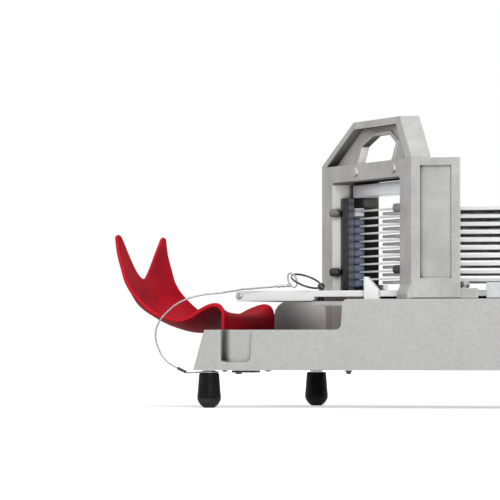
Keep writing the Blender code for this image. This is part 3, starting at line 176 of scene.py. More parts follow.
class Graph:
    """The node tree of one material or of the world."""

    def __init__(self, owner: Union[str, bpy.types.World]) -> None:
        """Start a material of that name, or take up the world's nodes."""
        self.owner = bpy.data.materials.new(owner) if isinstance(owner, str) else owner
        self.owner.use_nodes = True
        self.tree = self.owner.node_tree

    @cached_property
    def place(self) -> Socket:
        """Object coordinates."""
        return self.node("TexCoord").outputs["Object"]

    @cached_property
    def flat(self) -> Socket:
        """The surface's own normal."""
        return self.node("NewGeometry").outputs["Normal"]

    def node(self, kind: str, inputs: Union[dict[Any, Any], None] = None, **settings: Any
             ) -> bpy.types.Node:
        """Add one node.

        Args:
            kind: The node's type name after its first word, ShaderNode.
            inputs: Values or links for its sockets, by name or index.
            settings: Attributes of the node, set before its sockets.

        Returns:
            The new node.
        """
        made = self.tree.nodes.new("ShaderNode" + kind)
        for key, value in settings.items():
            setattr(made, key, value)
        for key, value in (inputs or {}).items():
            self.feed(made.inputs[key], value)
        return made

    def feed(self, socket: Socket, value: Any) -> None:
        """Link a socket to a value, or set it where the value is plain."""
        source = value.socket if isinstance(value, Number) else value
        if isinstance(source, Socket):
            self.tree.links.new(source, socket)
        elif socket.type == "RGBA" and len(source) == 3:
            socket.default_value = (*source, 1.0)
        else:
            socket.default_value = source

    def math(self, operation: str, first: Value, second: Value) -> Number:
        """One Math node on two values."""
        made = self.node("Math", {0: first, 1: second}, operation=operation)
        return Number(self, made.outputs[0])

    def stretched(self, scale: Triple) -> Socket:
        """Object coordinates multiplied along each axis."""
        return self.node("Mapping", {"Vector": self.place, "Scale": scale}).outputs["Vector"]

    def noise(self, scale: float, detail: float = 3.0, roughness: float = 0.5,
              place: Any = None) -> Number:
        """Cloudy noise of about 1 / scale metres; its mean is a half."""
        made = self.node("TexNoise", {"Vector": place or self.place, "Scale": scale,
                                      "Detail": detail, "Roughness": roughness})
        return Number(self, made.outputs["Fac"])

    def cells(self, scale: float, place: Any = None) -> Number:
        """Distance to the nearest of scattered points, in cell widths."""
        made = self.node("TexVoronoi", {"Vector": place or self.place, "Scale": scale})
        return Number(self, made.outputs["Distance"])

    def along(self, axis: str) -> Number:
        """One Object coordinate in metres."""
        return Number(self, self.node("SeparateXYZ", {"Vector": self.place}).outputs[axis])

    def facing(self, axis: str) -> Number:
        """One part of the surface's normal, from -1 to 1."""
        return Number(self, self.node("SeparateXYZ", {"Vector": self.flat}).outputs[axis])

    def mix(self, share: Value, first: Any, second: Any) -> Socket:
        """Blend two colours: the first at 0, the second at 1."""
        made = self.node("Mix", data_type="RGBA")
        colours = [socket for socket in made.inputs if socket.type == "RGBA"]
        for socket, value in zip([made.inputs["Factor"], *colours], (share, first, second)):
            self.feed(socket, value)
        return next(socket for socket in made.outputs if socket.type == "RGBA")

    def rounded(self, radius: float) -> Socket:
        """The surface's normal with its edges rounded to a radius."""
        return self.node("Bevel", {"Radius": radius}, samples=6).outputs[0]

    def edge(self, radius: float) -> Number:
        """How close a spot is to a sharp edge: 0 on flats, up to 1."""
        made = self.node("VectorMath", {0: self.rounded(radius), 1: self.flat},
                         operation="DOT_PRODUCT")
        return 1.0 - Number(self, made.outputs["Value"])

    def open_air(self, reach: float) -> Number:
        """How open a spot lies: 1 on free faces, falling to 0 in hollows within a reach."""
        made = self.node("AmbientOcclusion", {"Distance": reach}, samples=8)
        return Number(self, made.outputs["AO"])

    def seen(self) -> Number:
        """1 for rays from the camera, also by way of glossy or clear faces, and 0 for others."""
        rays = self.node("LightPath").outputs
        camera, glossy, clear = (Number(self, rays[f"Is {kind} Ray"])
                                 for kind in ("Camera", "Glossy", "Transmission"))
        return self.math("MAXIMUM", camera, self.math("MAXIMUM", glossy, clear))

    def done(self, colour: Any, roughness: Value, relief: Union[Number, None] = None,
             depth: float = 0.0, rounding: float = 0.0, **sockets: Any) -> Material:
        """Feed the Principled shader.

        Args:
            colour: Its base colour.
            roughness: Its roughness.
            relief: Heights of a fine relief, if it has one.
            depth: The relief's depth in metres.
            rounding: Radius to which edges look rounded, or 0 to leave them.
            sockets: Values or links of further sockets, with _ for a space.

        Returns:
            The finished material.
        """
        if relief is not None:
            bump: dict[Any, Any] = {"Height": relief, "Distance": depth, "Strength": 1.0}
            if rounding:
                bump["Normal"] = self.rounded(rounding)
            sockets["Normal"] = self.node("Bump", bump).outputs["Normal"]
        shader = self.tree.nodes["Principled BSDF"]
        for key, value in {"Base_Color": colour, "Roughness": roughness, **sockets}.items():
            self.feed(shader.inputs[key.replace("_", " ")], value)
        return self.owner


# Finishes


def shaded(colour: Triple, share: float) -> Triple:
    """A colour with each part multiplied by a share and held at 1."""
    return tuple(min(1.0, part * share) for part in colour)


@dataclass(frozen=True)
class CastFinish:
    """As-cast aluminium: mottled grey, fine grain, small pits, painted shade in its hollows."""

    name: str
    tone: float
    grain: float = 0.00022
    metal: float = 0.30
    edge_width: float = 0.0012
    hollow: float = 0.030
    # Colour of the painted shade, and how strongly it is mixed in.
    grime: Triple = (0.022, 0.021, 0.020)
    grime_share: float = 0.85
    under_share: float = 0.55
    clouding: float = 0.12
    pit: Triple = (0.12, 0.12, 0.115)
    # Colour of the painted light on the window's faces that turn to the near side.
    sheen: Triple = (0.80, 0.80, 0.79)
    # Colour of the painted light on the tray's far wall, away from the catcher.
    clean: Triple = (0.90, 0.89, 0.88)
    rubbed: Triple = (0.86, 0.86, 0.85)
    jamb: bool = False
    tray: bool = False

    def material(self) -> Material:
        """Build the finish from three sizes of noise, a worn edge and painted shade in hollows."""
        graph = Graph(self.name)
        cloud = graph.noise(34.0, 4.0, 0.6)
        mottle = graph.noise(260.0, 3.0, 0.6)
        speck = graph.noise(1500.0, 2.0, 0.6)
        pits = graph.cells(420.0).between(0.16, 0.05)
        worn = (graph.edge(self.edge_width) * 9.0).between(0.15, 0.9)
        shade = (cloud - 0.5) * self.clouding + (mottle - 0.5) * 0.20 + (speck - 0.5) * 0.50
        dark = (self.tone * 0.66, self.tone * 0.66, self.tone * 0.65)
        light = (self.tone * 1.18, self.tone * 1.18, self.tone * 1.17)
        colour = graph.mix((shade + 0.5).between(0.15, 0.85), dark, light)
        colour = graph.mix(pits * 0.30, colour, self.pit)
        # Painted shade: colour darkens in hollows, read by ambient occlusion, with a little
        # mottling.
        painted_shade = graph.open_air(self.hollow).between(0.75, 0.10) * (0.8 + mottle * 0.4)
        if self.jamb:
            # Painted shade on down-facing faces 120 to 160 mm up, under the hand hole's rim.
            under = graph.facing("Z").between(-0.25, -0.60) * graph.along("Z").between(
                120.0 * MM, 160.0 * MM)
            # Painted light: faces in the window that turn to the near side are lightened.
            pale = graph.facing("Y").between(-0.90, -0.99) * self.window(graph)
            colour = graph.mix(pale * 0.75, colour, self.sheen)
            # Painted shade behind the blades' ends and under the rim adds to the shade in hollows.
            painted_shade = painted_shade + self.soot(graph) + under * self.under_share
        if self.tray:
            # Painted light and shade on the tray's inner far wall: lightened away from the catcher,
            # darkened near it, with the shade from hollows mostly taken off the wall.
            inner, start = self.bay(graph)
            colour = graph.mix(inner * (1.0 - start), colour, self.clean)
            # Painted shade in the near wall's pocket adds on.
            painted_shade = painted_shade * (1.0 - inner * 0.95) + inner * start * 0.72 + self.pocket(graph)
        colour = graph.mix(worn * 0.45, colour, self.rubbed)
        colour = graph.mix((painted_shade * self.grime_share).between(0.0, 1.0), colour, self.grime)
        return graph.done(colour, 0.46 + mottle * 0.20 - worn * 0.10 + painted_shade * 0.3,
                          mottle * 0.45 + speck * 0.55 - pits * 0.4, self.grain,
                          self.edge_width, Metallic=self.metal, Specular_IOR_Level=0.30)

    def window(self, graph: Graph) -> Number:
        """1 between the frame's posts and on their inner faces, 0 on their outer ones."""
        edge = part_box("blade_frame")[1].y - POST_WIDTH
        return abs(graph.along("Y")).between(edge + 3.0 * MM, edge + 2.0 * MM)

    def soot(self, graph: Graph) -> Number:
        """Painted shade on the posts' inner faces behind the blades' ends.

        The depth behind the output face is x - FACE_X + SKEW y. The painted shade grows over depths
        of 13 to 19 mm, below the crossbar, and is lighter over the end block.
        """
        depth = graph.along("X") + graph.along("Y") * SKEW - FACE_X
        inside = abs(graph.facing("Y")).between(0.90, 0.99) * self.window(graph)
        height = graph.along("Z")
        low = height.between(190.0 * MM, 184.0 * MM)
        behind = depth.between(24.0 * MM, 30.0 * MM) * height.between(163.0 * MM, 166.0 * MM)
        return depth.between(13.0 * MM, 19.0 * MM) * inside * low * (1.0 - behind * 0.6)

    def bay(self, graph: Graph) -> tuple[Number, Number]:
        """The tray's inner far wall, and how near the catcher a spot on it lies."""
        inner = graph.facing("Y").between(-0.80, -0.98) * graph.along("Y").between(0.0, 60.0 * MM)
        return inner, graph.along("X").between(TRAY_LEFT + 48.0 * MM, TRAY_LEFT - 8.0 * MM)

    def pocket(self, graph: Graph) -> Number:
        """Painted shade along the left side of the pocket in the near wall."""
        x, z = graph.along("X"), graph.along("Z")
        band = (x.between(POCKET_LEFT, POCKET_LEFT + 1.2 * MM)
                * x.between(POCKET_LEFT + 9.0 * MM, POCKET_LEFT + 2.4 * MM))
        tall = z.between(36.0 * MM, 39.0 * MM) * z.between(65.0 * MM, 63.0 * MM)
        return band * tall * graph.along("Y").between(-85.0 * MM, -88.0 * MM) * 0.8


@dataclass(frozen=True)
class SteelFinish:
    """Drawn or ground steel with fine lines along one axis."""

    name: str
    tone: Triple
    roughness: float = 0.28
    lines: Triple = (60.0, 2400.0, 2400.0)
    stain: float = 0.18
    edge_width: float = 0.0003
    metal: float = 1.0

    def material(self) -> Material:
        """Build the finish from stretched noise and a soft stain."""
        graph = Graph(self.name)
        line = graph.noise(1.0, 3.0, 0.65, graph.stretched(self.lines))
        cloud = graph.noise(90.0, 3.0, 0.6)
        colour = graph.mix((line * 0.5 + cloud * 0.5).between(0.3, 0.7),
                           shaded(self.tone, 1.0 - self.stain), shaded(self.tone, 1.12))
        return graph.done(colour, self.roughness - 0.06 + line * 0.10 + cloud * 0.06, line,
                          0.00002, self.edge_width, Metallic=self.metal)


@dataclass(frozen=True)
class DarkSteelFinish:
    """Blackened steel with worn, brighter edges and faint rust-brown stain."""

    name: str
    tone: Triple = (0.045, 0.045, 0.05)
    roughness: float = 0.36
    edge_width: float = 0.0004

    def material(self) -> Material:
        """Build the finish: black oxide over steel."""
        graph = Graph(self.name)
        cloud = graph.noise(320.0, 4.0, 0.6)
        worn = (graph.edge(self.edge_width) * 6.0).between(0.1, 0.9)
        colour = graph.mix(cloud.between(0.45, 0.75) * 0.35, self.tone, (0.10, 0.085, 0.075))
        colour = graph.mix(worn * 0.6, colour, (0.42, 0.42, 0.43))
        return graph.done(colour, self.roughness + (cloud - 0.5) * 0.2,
                          graph.noise(2200.0, 2.0, 0.5), 0.00003, self.edge_width, Metallic=0.7)


@dataclass(frozen=True)
class MouldedFinish:
    """Moulded or milled plastic: soft mottling, fine tooling lines, scuffs."""

    name: str
    tone: Triple
    roughness: float
    scuff: Triple
    scuff_share: float = 0.15
    coat: float = 0.0

    def material(self) -> Material:
        """Build the finish from lines, clouds and scratches."""
        graph = Graph(self.name)
        line = graph.noise(1.0, 2.0, 0.5, graph.stretched((30.0, 1500.0, 1500.0)))
        cloud = graph.noise(55.0, 3.0, 0.55)
        fine = graph.noise(1700.0, 2.0, 0.5)
        scratch = graph.cells(1.0, graph.stretched((26.0, 420.0, 260.0))).between(0.05, 0.01)
        colour = graph.mix(cloud.between(0.3, 0.7), shaded(self.tone, 0.95), self.tone)
        marks = scratch * self.scuff_share + (line - 0.5) * 0.08
        colour = graph.mix(marks.between(0.0, 1.0), colour, self.scuff)
        return graph.done(colour, self.roughness + (cloud - 0.5) * 0.14 + (fine - 0.5) * 0.08,
                          line * 0.6 + fine * 0.4 - scratch * 0.8, 0.00003, 0.0006,
                          Coat_Weight=self.coat, Coat_Roughness=0.12)


@dataclass(frozen=True)
class SpacerFinish:
    """Blue-grey moulded spacers: paler in the middle of each step, a dark joint between."""

    name: str
    tone: Triple = (0.070, 0.095, 0.140)
    pale: Triple = (0.17, 0.215, 0.29)
    joint: Triple = (0.012, 0.015, 0.024)

    def material(self) -> Material:
        """Build the finish: the step's share is the height over the lowest blade by the pitch."""
        graph = Graph(self.name)
        cloud = graph.noise(260.0, 3.0, 0.6)
        turns = (graph.along("Z") - FIRST_BLADE) / PITCH
        far = abs(graph.math("FRACT", turns + 100.0, 0.0) - 0.5)
        colour = graph.mix((cloud * 0.5 + (0.5 - far)).between(0.15, 0.85), self.tone, self.pale)
        colour = graph.mix(far.between(0.42, 0.47) * 0.9, colour, self.joint)
        return graph.done(colour, 0.40 + cloud * 0.2, graph.noise(1900.0, 2.0, 0.5), 0.00002,
                          0.0004)


@dataclass(frozen=True)
class RedSheetFinish:
    """Glossy red plastic sheet with painted shade in the folds and underneath, a painted highlight
    along the side rims, and hair scratches.
    """

    name: str = "catcher_red"
    tone: Triple = (0.52, 0.010, 0.024)
    deep: Triple = (0.34, 0.006, 0.016)
    shadow: Triple = (0.090, 0.002, 0.006)
    # Brighter red of the painted highlight on the side rims.
    rim: Triple = (0.66, 0.020, 0.034)

    def material(self) -> Material:
        """Build the finish: painted shade below and in folds, a painted highlight along the side
        rims, fine relief.
        """
        graph = Graph(self.name)
        cloud = graph.noise(26.0, 3.0, 0.5)
        peel = graph.noise(420.0, 2.0, 0.4)
        fine = graph.noise(1900.0, 2.0, 0.5)
        scratch = graph.cells(1.0, graph.stretched((18.0, 230.0, 40.0))).between(0.035, 0.01)
        # Painted shade: darker red in folds, read by ambient occlusion, and on faces turned down.
        fold = graph.open_air(0.045).between(0.85, 0.25)
        under = graph.facing("Z").between(-0.15, -0.75)
        # Painted highlight: faces turned to either side, the sheet's side rims, are brighter red.
        side = abs(graph.facing("Y")).between(0.45, 0.85)
        colour = graph.mix(cloud.between(0.25, 0.75), self.deep, self.tone)
        colour = graph.mix((fold * 0.75 + under * 0.45).between(0.0, 1.0), colour, self.shadow)
        colour = graph.mix(side * 0.8, colour, self.rim)
        colour = graph.mix(scratch * 0.10, colour, (0.80, 0.30, 0.30))
        rough = 0.42 + (cloud - 0.5) * 0.12 + scratch * 0.2 + (fine - 0.5) * 0.06
        return graph.done(colour, rough, peel * 0.8 + fine * 0.2, 0.00003, Metallic=0.18,
                          Specular_IOR_Level=0.0)


@dataclass(frozen=True)
class RubberFinish:
    """Black rubber, dusty and greyer near the worktop."""

    name: str = "foot_rubber"

    def material(self) -> Material:
        """Build the finish: a grey band low down and a fine grain."""
        graph = Graph(self.name)
        cloud = graph.noise(150.0, 3.0, 0.6)
        dust = graph.along("Z").between(0.0082, 0.0066) * (0.35 + cloud * 0.4)
        colour = graph.mix(cloud.between(0.35, 0.7), (0.006, 0.006, 0.008), (0.013, 0.013, 0.015))
        colour = graph.mix(dust * 0.55, colour, (0.10, 0.10, 0.105))
        return graph.done(colour, 0.34 + dust * 0.30, graph.noise(1300.0, 3.0, 0.6), 0.00003,
                          Specular_IOR_Level=0.08)


@dataclass(frozen=True)
class WireFinish:
    """Galvanised wire strands, dull in the grooves between them."""

    name: str = "rope_wire"
    tone: Triple = (0.40, 0.41, 0.41)

    def material(self) -> Material:
        """Build the finish from fine spangle noise."""
        graph = Graph(self.name)
        spangle = graph.noise(900.0, 3.0, 0.6)
        colour = graph.mix(spangle.between(0.3, 0.7), shaded(self.tone, 0.72), self.tone)
        return graph.done(colour, 0.34 + spangle * 0.16, graph.noise(4200.0, 2.0, 0.5), 0.00001,
                          Metallic=0.8)


@dataclass(frozen=True)
class GripFinish:
    """Black moulded handle with a pebbled skin and a shine where it is held."""

    name: str = "grip_skin"

    def material(self) -> Material:
        """Build the finish from small cells and a broad polish."""
        graph = Graph(self.name)
        cloud = graph.noise(48.0, 3.0, 0.55)
        colour = graph.mix(cloud.between(0.3, 0.7), (0.014, 0.014, 0.015), (0.03, 0.03, 0.032))
        return graph.done(colour, 0.48 - cloud * 0.16, graph.cells(1100.0), 0.00012)


class Finishes:
    """Every finish of the slicer, built once and shared by its pieces."""

    def __init__(self) -> None:
        """Build the materials."""
        specks = (900.0, 900.0, 900.0)
        self.base = CastFinish("cast_base", 0.54, tray=True).material()
        # The frame's painted shade is a lighter near-black.
        self.frame = CastFinish("cast_frame", 0.52, grime=(0.046, 0.046, 0.041),
                                clouding=0.60, jamb=True).material()
        self.carriage = CastFinish("cast_carriage", 0.55).material()
        self.steel = SteelFinish("plain_steel", (0.58, 0.58, 0.59)).material()
        self.bright = SteelFinish("bright_screw", (0.66, 0.66, 0.67), 0.22, specks).material()
        self.edge_steel = SteelFinish("edge_screw_steel", (0.42, 0.42, 0.42), 0.42, specks
                                      ).material()
        # Near-white, mostly diffuse colour on the blades: a painted reflection of the bright
        # surround on polished steel.
        self.blade = SteelFinish("ground_blade", (0.97, 0.98, 0.99), 0.30,
                                 lines=(900.0, 50.0, 2600.0), stain=0.04, edge_width=0.00008,
                                 metal=0.15).material()
        self.rail = SteelFinish("rail_steel", (0.55, 0.56, 0.57), 0.30).material()
        # A lighter copy of the black steel for the upper cartridge screws: a painted highlight.
        self.worn = DarkSteelFinish("worn_steel", (0.20, 0.20, 0.19), 0.40).material()
        self.dark = DarkSteelFinish("black_steel").material()
        self.holder = DarkSteelFinish("holder_steel", (0.030, 0.031, 0.034), 0.42).material()
        self.white = MouldedFinish("board_white", (0.97, 0.97, 0.97), 0.40, (0.80, 0.80, 0.79),
                                   scuff_share=0.25).material()
        self.finger = MouldedFinish("finger_white", (0.97, 0.97, 0.97), 0.38,
                                    (0.84, 0.84, 0.84)).material()
        self.plate = MouldedFinish("plate_white", (0.91, 0.96, 0.99), 0.30, (0.76, 0.77, 0.82),
                                   coat=0.2).material()
        self.block = MouldedFinish("block_white", (0.95, 0.96, 0.98), 0.36,
                                   (0.78, 0.80, 0.84)).material()
        self.spacer = SpacerFinish("spacer_blue_grey").material()
        self.clamp = SpacerFinish("clamp_grey", (0.045, 0.054, 0.070), (0.120, 0.138, 0.165)
                                  ).material()
        self.red = RedSheetFinish().material()
        self.rubber = RubberFinish().material()
        self.wire = WireFinish().material()
        self.grip = GripFinish().material()


# Surfaces


class Extent:
    """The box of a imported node."""

    def __init__(self, node: str) -> None:
        """Read the corners, the middle, the sole's middle and the size along each axis."""
        self.low, self.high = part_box(node)
        self.middle = (self.low + self.high) / 2.0
        self.sole = (self.middle.x, self.middle.y, self.low.z)
        self.wide, self.deep, self.tall = (np.array(self.high) - np.array(self.low)).tolist()


def linked(name: str, data: Any) -> Piece:
    """A new object in the scene."""
    made = bpy.data.objects.new(name, data)
    bpy.context.scene.collection.objects.link(made)
    return made


def unit(rows: Array) -> Array:
    """Each row over its own length."""
    return rows / np.linalg.norm(rows, axis=-1, keepdims=True)


def mesh_piece(name: str, surface: Surface, material: Material, weld: float = WELD) -> Piece:
    """Make a smooth-shaded object from arrays.

    Args:
        name: The piece's name.
        surface: Corners in the model's frame, and the corner numbers of four-sided faces.
        material: Its finish.
        weld: Distance under which corners are made one, where seams close.

    Returns:
        The object at the origin, with its place in its mesh.
    """
    points, faces = surface
    mesh = bpy.data.meshes.new(name)
    mesh.from_pydata(points.reshape(-1, 3).tolist(), [], faces.reshape(-1, 4).tolist())
    shape = bmesh.new()
    shape.from_mesh(mesh)
    if weld:
        bmesh.ops.remove_doubles(shape, verts=shape.verts, dist=weld)
    bmesh.ops.recalc_face_normals(shape, faces=shape.faces)
    shape.to_mesh(mesh)
    shape.free()
    mesh.shade_smooth()
    mesh.set_sharp_from_angle(angle=SHARP_OVER)
    mesh.materials.append(material)
    return linked(name, mesh)


def grid_faces(rows: int, columns: int) -> Array:
    """Faces of rows of points in rings: each joins two neighbours and the two above.

    Args:
        rows: Number of rings.
        columns: Number of points in a ring.

    Returns:
        One row of four corner numbers for each face.
    """
    row, column = np.meshgrid(np.arange(rows - 1), np.arange(columns), indexing="ij")
    following = (column + 1) % columns
    low, high = row * columns, (row + 1) * columns
    return np.stack([low + column, low + following, high + following, high + column],
                    axis=-1).reshape(-1, 4)


def turned(profile: Profile, sides: int, ripple: Union[Ripple, None] = None) -> Surface:
    """A surface turned about Z: x, y = r cos a, r sin a at height h, for each (r, h).

    Args:
        profile: Radius and height of each ring in metres, from pole to pole.
        sides: Points in a ring.
        ripple: Factor on the radius from the angle and the ring's number.

    Returns:
        The points and the faces.
    """
    rings = np.array(list(profile), float)
    angle = np.arange(sides) * TURN / sides
    radius = rings[:, :1] * np.ones(sides)
    if ripple is not None:
        radius = radius * ripple(angle[None, :], np.arange(len(rings))[:, None])
    points = np.stack([radius * np.cos(angle), radius * np.sin(angle),
                       rings[:, 1:] * np.ones(sides)], axis=-1)
    return points.reshape(-1, 3), grid_faces(len(rings), sides)


def placed(surface: Surface, centre: Iterable[float], axis: Iterable[float] = UP) -> Surface:
    """A surface turned so that its Z runs along an axis, then moved to a centre."""
    turn = np.array(Vector(axis).to_track_quat("Z", "Y").to_matrix())
    return surface[0] @ turn.T + np.array(list(centre), float), surface[1]


def turned_piece(name: str, profile: Profile, centre: Iterable[float], axis: Iterable[float],
                 material: Material, sides: int = 48, ripple: Union[Ripple, None] = None
                 ) -> Piece:
    """An object turned about an axis; its profile starts at the centre."""
    return mesh_piece(name, placed(turned(profile, sides, ripple), centre, axis), material)


def joined(*parts: Surface) -> Surface:
    """Several surfaces as one: the later faces count on from the earlier points."""
    starts = np.cumsum([0] + [len(points) for points, _ in parts[:-1]])
    return (np.concatenate([points for points, _ in parts]),
            np.concatenate([faces + start for (_, faces), start in zip(parts, starts)]))


def smooth_line(knots: Array, steps: int) -> Array:
    """A Catmull-Rom curve through knots: each span is a cubic of its four nearest knots.

    Args:
        knots: Points or rows of values, one row each.
        steps: Points in each span.

    Returns:
        The finer rows, the last knot included.
    """
    ends = np.concatenate([2 * knots[:1] - knots[1:2], knots, 2 * knots[-1:] - knots[-2:-1]])
    a, b, c, d = (ends[i:len(ends) - 3 + i, None, :] for i in range(4))
    t = (np.arange(steps) / steps)[None, :, None]
    fine = 0.5 * (2 * b + (c - a) * t + (2 * a - 5 * b + 4 * c - d) * t ** 2
                  + (3 * b - a - 3 * c + d) * t ** 3)
    return np.concatenate([fine.reshape(-1, knots.shape[1]), knots[-1:]])


def travelled(line: Array) -> Array:
    """Distance along a line to each of its points."""
    return np.concatenate([[0.0], np.cumsum(np.linalg.norm(np.diff(line, axis=0), axis=1))])


def even_line(line: Array, spacing: float) -> Array:
    """The same line with its points a fixed distance apart."""
    length = travelled(line)
    goal = np.linspace(0.0, length[-1], max(2, round(length[-1] / spacing) + 1))
    return np.stack([np.interp(goal, length, line[:, k]) for k in range(line.shape[1])], axis=1)


def tube(path: Array, radius: float, sides: int, across: Iterable[float], wound: bool = True,
         closed: bool = False) -> Surface:
    """A tube about a path: centre + r (n cos a + b sin a), with n and b square to the path.

    Strands lobe the tube: r = R (1 - 0.16 (1 - |cos(STRANDS (a - s / LAY) / 2)|)), so the
    lobes wind once round in each lay length of path.

    Args:
        path: The middle line's points.
        radius: R, the largest radius.
        sides: Points round the tube.
        across: A direction that the path never runs along; b starts from it.
        wound: Whether the tube is a rope of strands, or round.
        closed: Whether the path is a ring.

    Returns:
        The points and the faces.
    """
    if closed:
        ahead = unit(np.roll(path, -1, axis=0) - np.roll(path, 1, axis=0))
    else:
        ahead = unit(np.gradient(path, axis=0))
    side = unit(np.cross(ahead, np.array(list(across), float)))
    upward = np.cross(side, ahead)
    angle = np.arange(sides) * TURN / sides
    reach = np.full((len(path), sides), radius)
    if wound:
        phase = angle[None, :] - travelled(path)[:, None] * TURN / LAY
        reach *= 1.0 - 0.16 * (1.0 - np.abs(np.cos(STRANDS * phase / 2.0)))
    points = (path[:, None, :] + reach[..., None] * (side[:, None, :] * np.cos(angle)[:, None]
                                                     + upward[:, None, :] * np.sin(angle)[:, None]))
    if closed:
        points = np.concatenate([points, points[:1]])
    else:
        points = np.concatenate([np.repeat(path[:1, None], sides, 1), points,
                                 np.repeat(path[-1:, None], sides, 1)])
    return points.reshape(-1, 3), grid_faces(len(points), sides)


def boxes(corners: Array) -> Surface:
    """Boxes as one surface, from the low and the high corner of each: (boxes, 2, 3)."""
    pick = np.array([[0, 0, 0], [1, 0, 0], [1, 1, 0], [0, 1, 0],
                     [0, 0, 1], [1, 0, 1], [1, 1, 1], [0, 1, 1]])
    points = corners[:, pick, np.arange(3)]
    sides = np.array([[0, 3, 2, 1], [4, 5, 6, 7], [0, 1, 5, 4], [1, 2, 6, 5], [2, 3, 7, 6],
                      [3, 0, 4, 7]])
    faces = sides[None] + 8 * np.arange(len(corners))[:, None, None]
    return points.reshape(-1, 3), faces.reshape(-1, 4)


def hexagon(angle: Array) -> Array:
    """Radius of a hexagon round the circle of its corners: cos 30 / cos of the angle off a flat."""
    off = np.mod(angle, TURN / 6.0) - TURN / 12.0
    return math.cos(math.pi / 6.0) / np.cos(off)


def hexagon_rings(first: int, last: int) -> Ripple:
    """A ripple that makes the rings from first to last hexagons and leaves the rest round."""
    return lambda angle, ring: np.where((ring >= first) & (ring <= last), hexagon(angle), 1.0)


def finish_piece(piece: Piece, body: Body, slot: str, *nodes: str) -> Piece:
    """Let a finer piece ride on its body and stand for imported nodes."""
    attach(piece, body.value)
    if nodes:
        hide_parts(*nodes)
    LOG.info("%s: %d faces", piece.name, len(piece.data.polygons))
    return piece


def dress(material: Material, *nodes: str) -> None:
    """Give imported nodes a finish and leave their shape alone."""
    for node in nodes:
        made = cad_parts[node]
        made.data.materials.clear()
        made.data.materials.append(material)
        LOG.info("%s: dressed in %s", node, material.name)


def rounded_edges(made: Piece, width: float) -> Piece:
    """Round a piece's sharp edges to a width, and shade it smooth between them."""
    bevel = made.modifiers.new("soft_edges", "BEVEL")
    bevel.width = width
    bevel.segments = 2
    bevel.limit_method = "ANGLE"
    bevel.angle_limit = math.radians(30.0)
    bpy.context.view_layer.update()
    shown = made.evaluated_get(bpy.context.evaluated_depsgraph_get())
    made.data = bpy.data.meshes.new_from_object(shown)
    made.modifiers.clear()
    made.data.shade_smooth()
    made.data.set_sharp_from_angle(angle=SHARP_OVER)
    return made


def softened(node: str, body: Body, slot: str, material: Material, width: float = 0.0005
             ) -> Piece:
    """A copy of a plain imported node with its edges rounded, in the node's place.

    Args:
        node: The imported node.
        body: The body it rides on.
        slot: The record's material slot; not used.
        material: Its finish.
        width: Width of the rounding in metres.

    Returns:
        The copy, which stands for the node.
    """
    shape = bmesh.new()
    shape.from_mesh(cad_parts[node].data)
    bmesh.ops.remove_doubles(shape, verts=shape.verts, dist=2e-6)
    bmesh.ops.dissolve_limit(shape, angle_limit=math.radians(0.5), verts=shape.verts,
                             edges=shape.edges)
    mesh = bpy.data.meshes.new(node + "_soft")
    shape.to_mesh(mesh)
    shape.free()
    mesh.materials.append(material)
    return finish_piece(rounded_edges(linked(node + "_soft", mesh), width), body, slot, node)


# Sub-assemblies


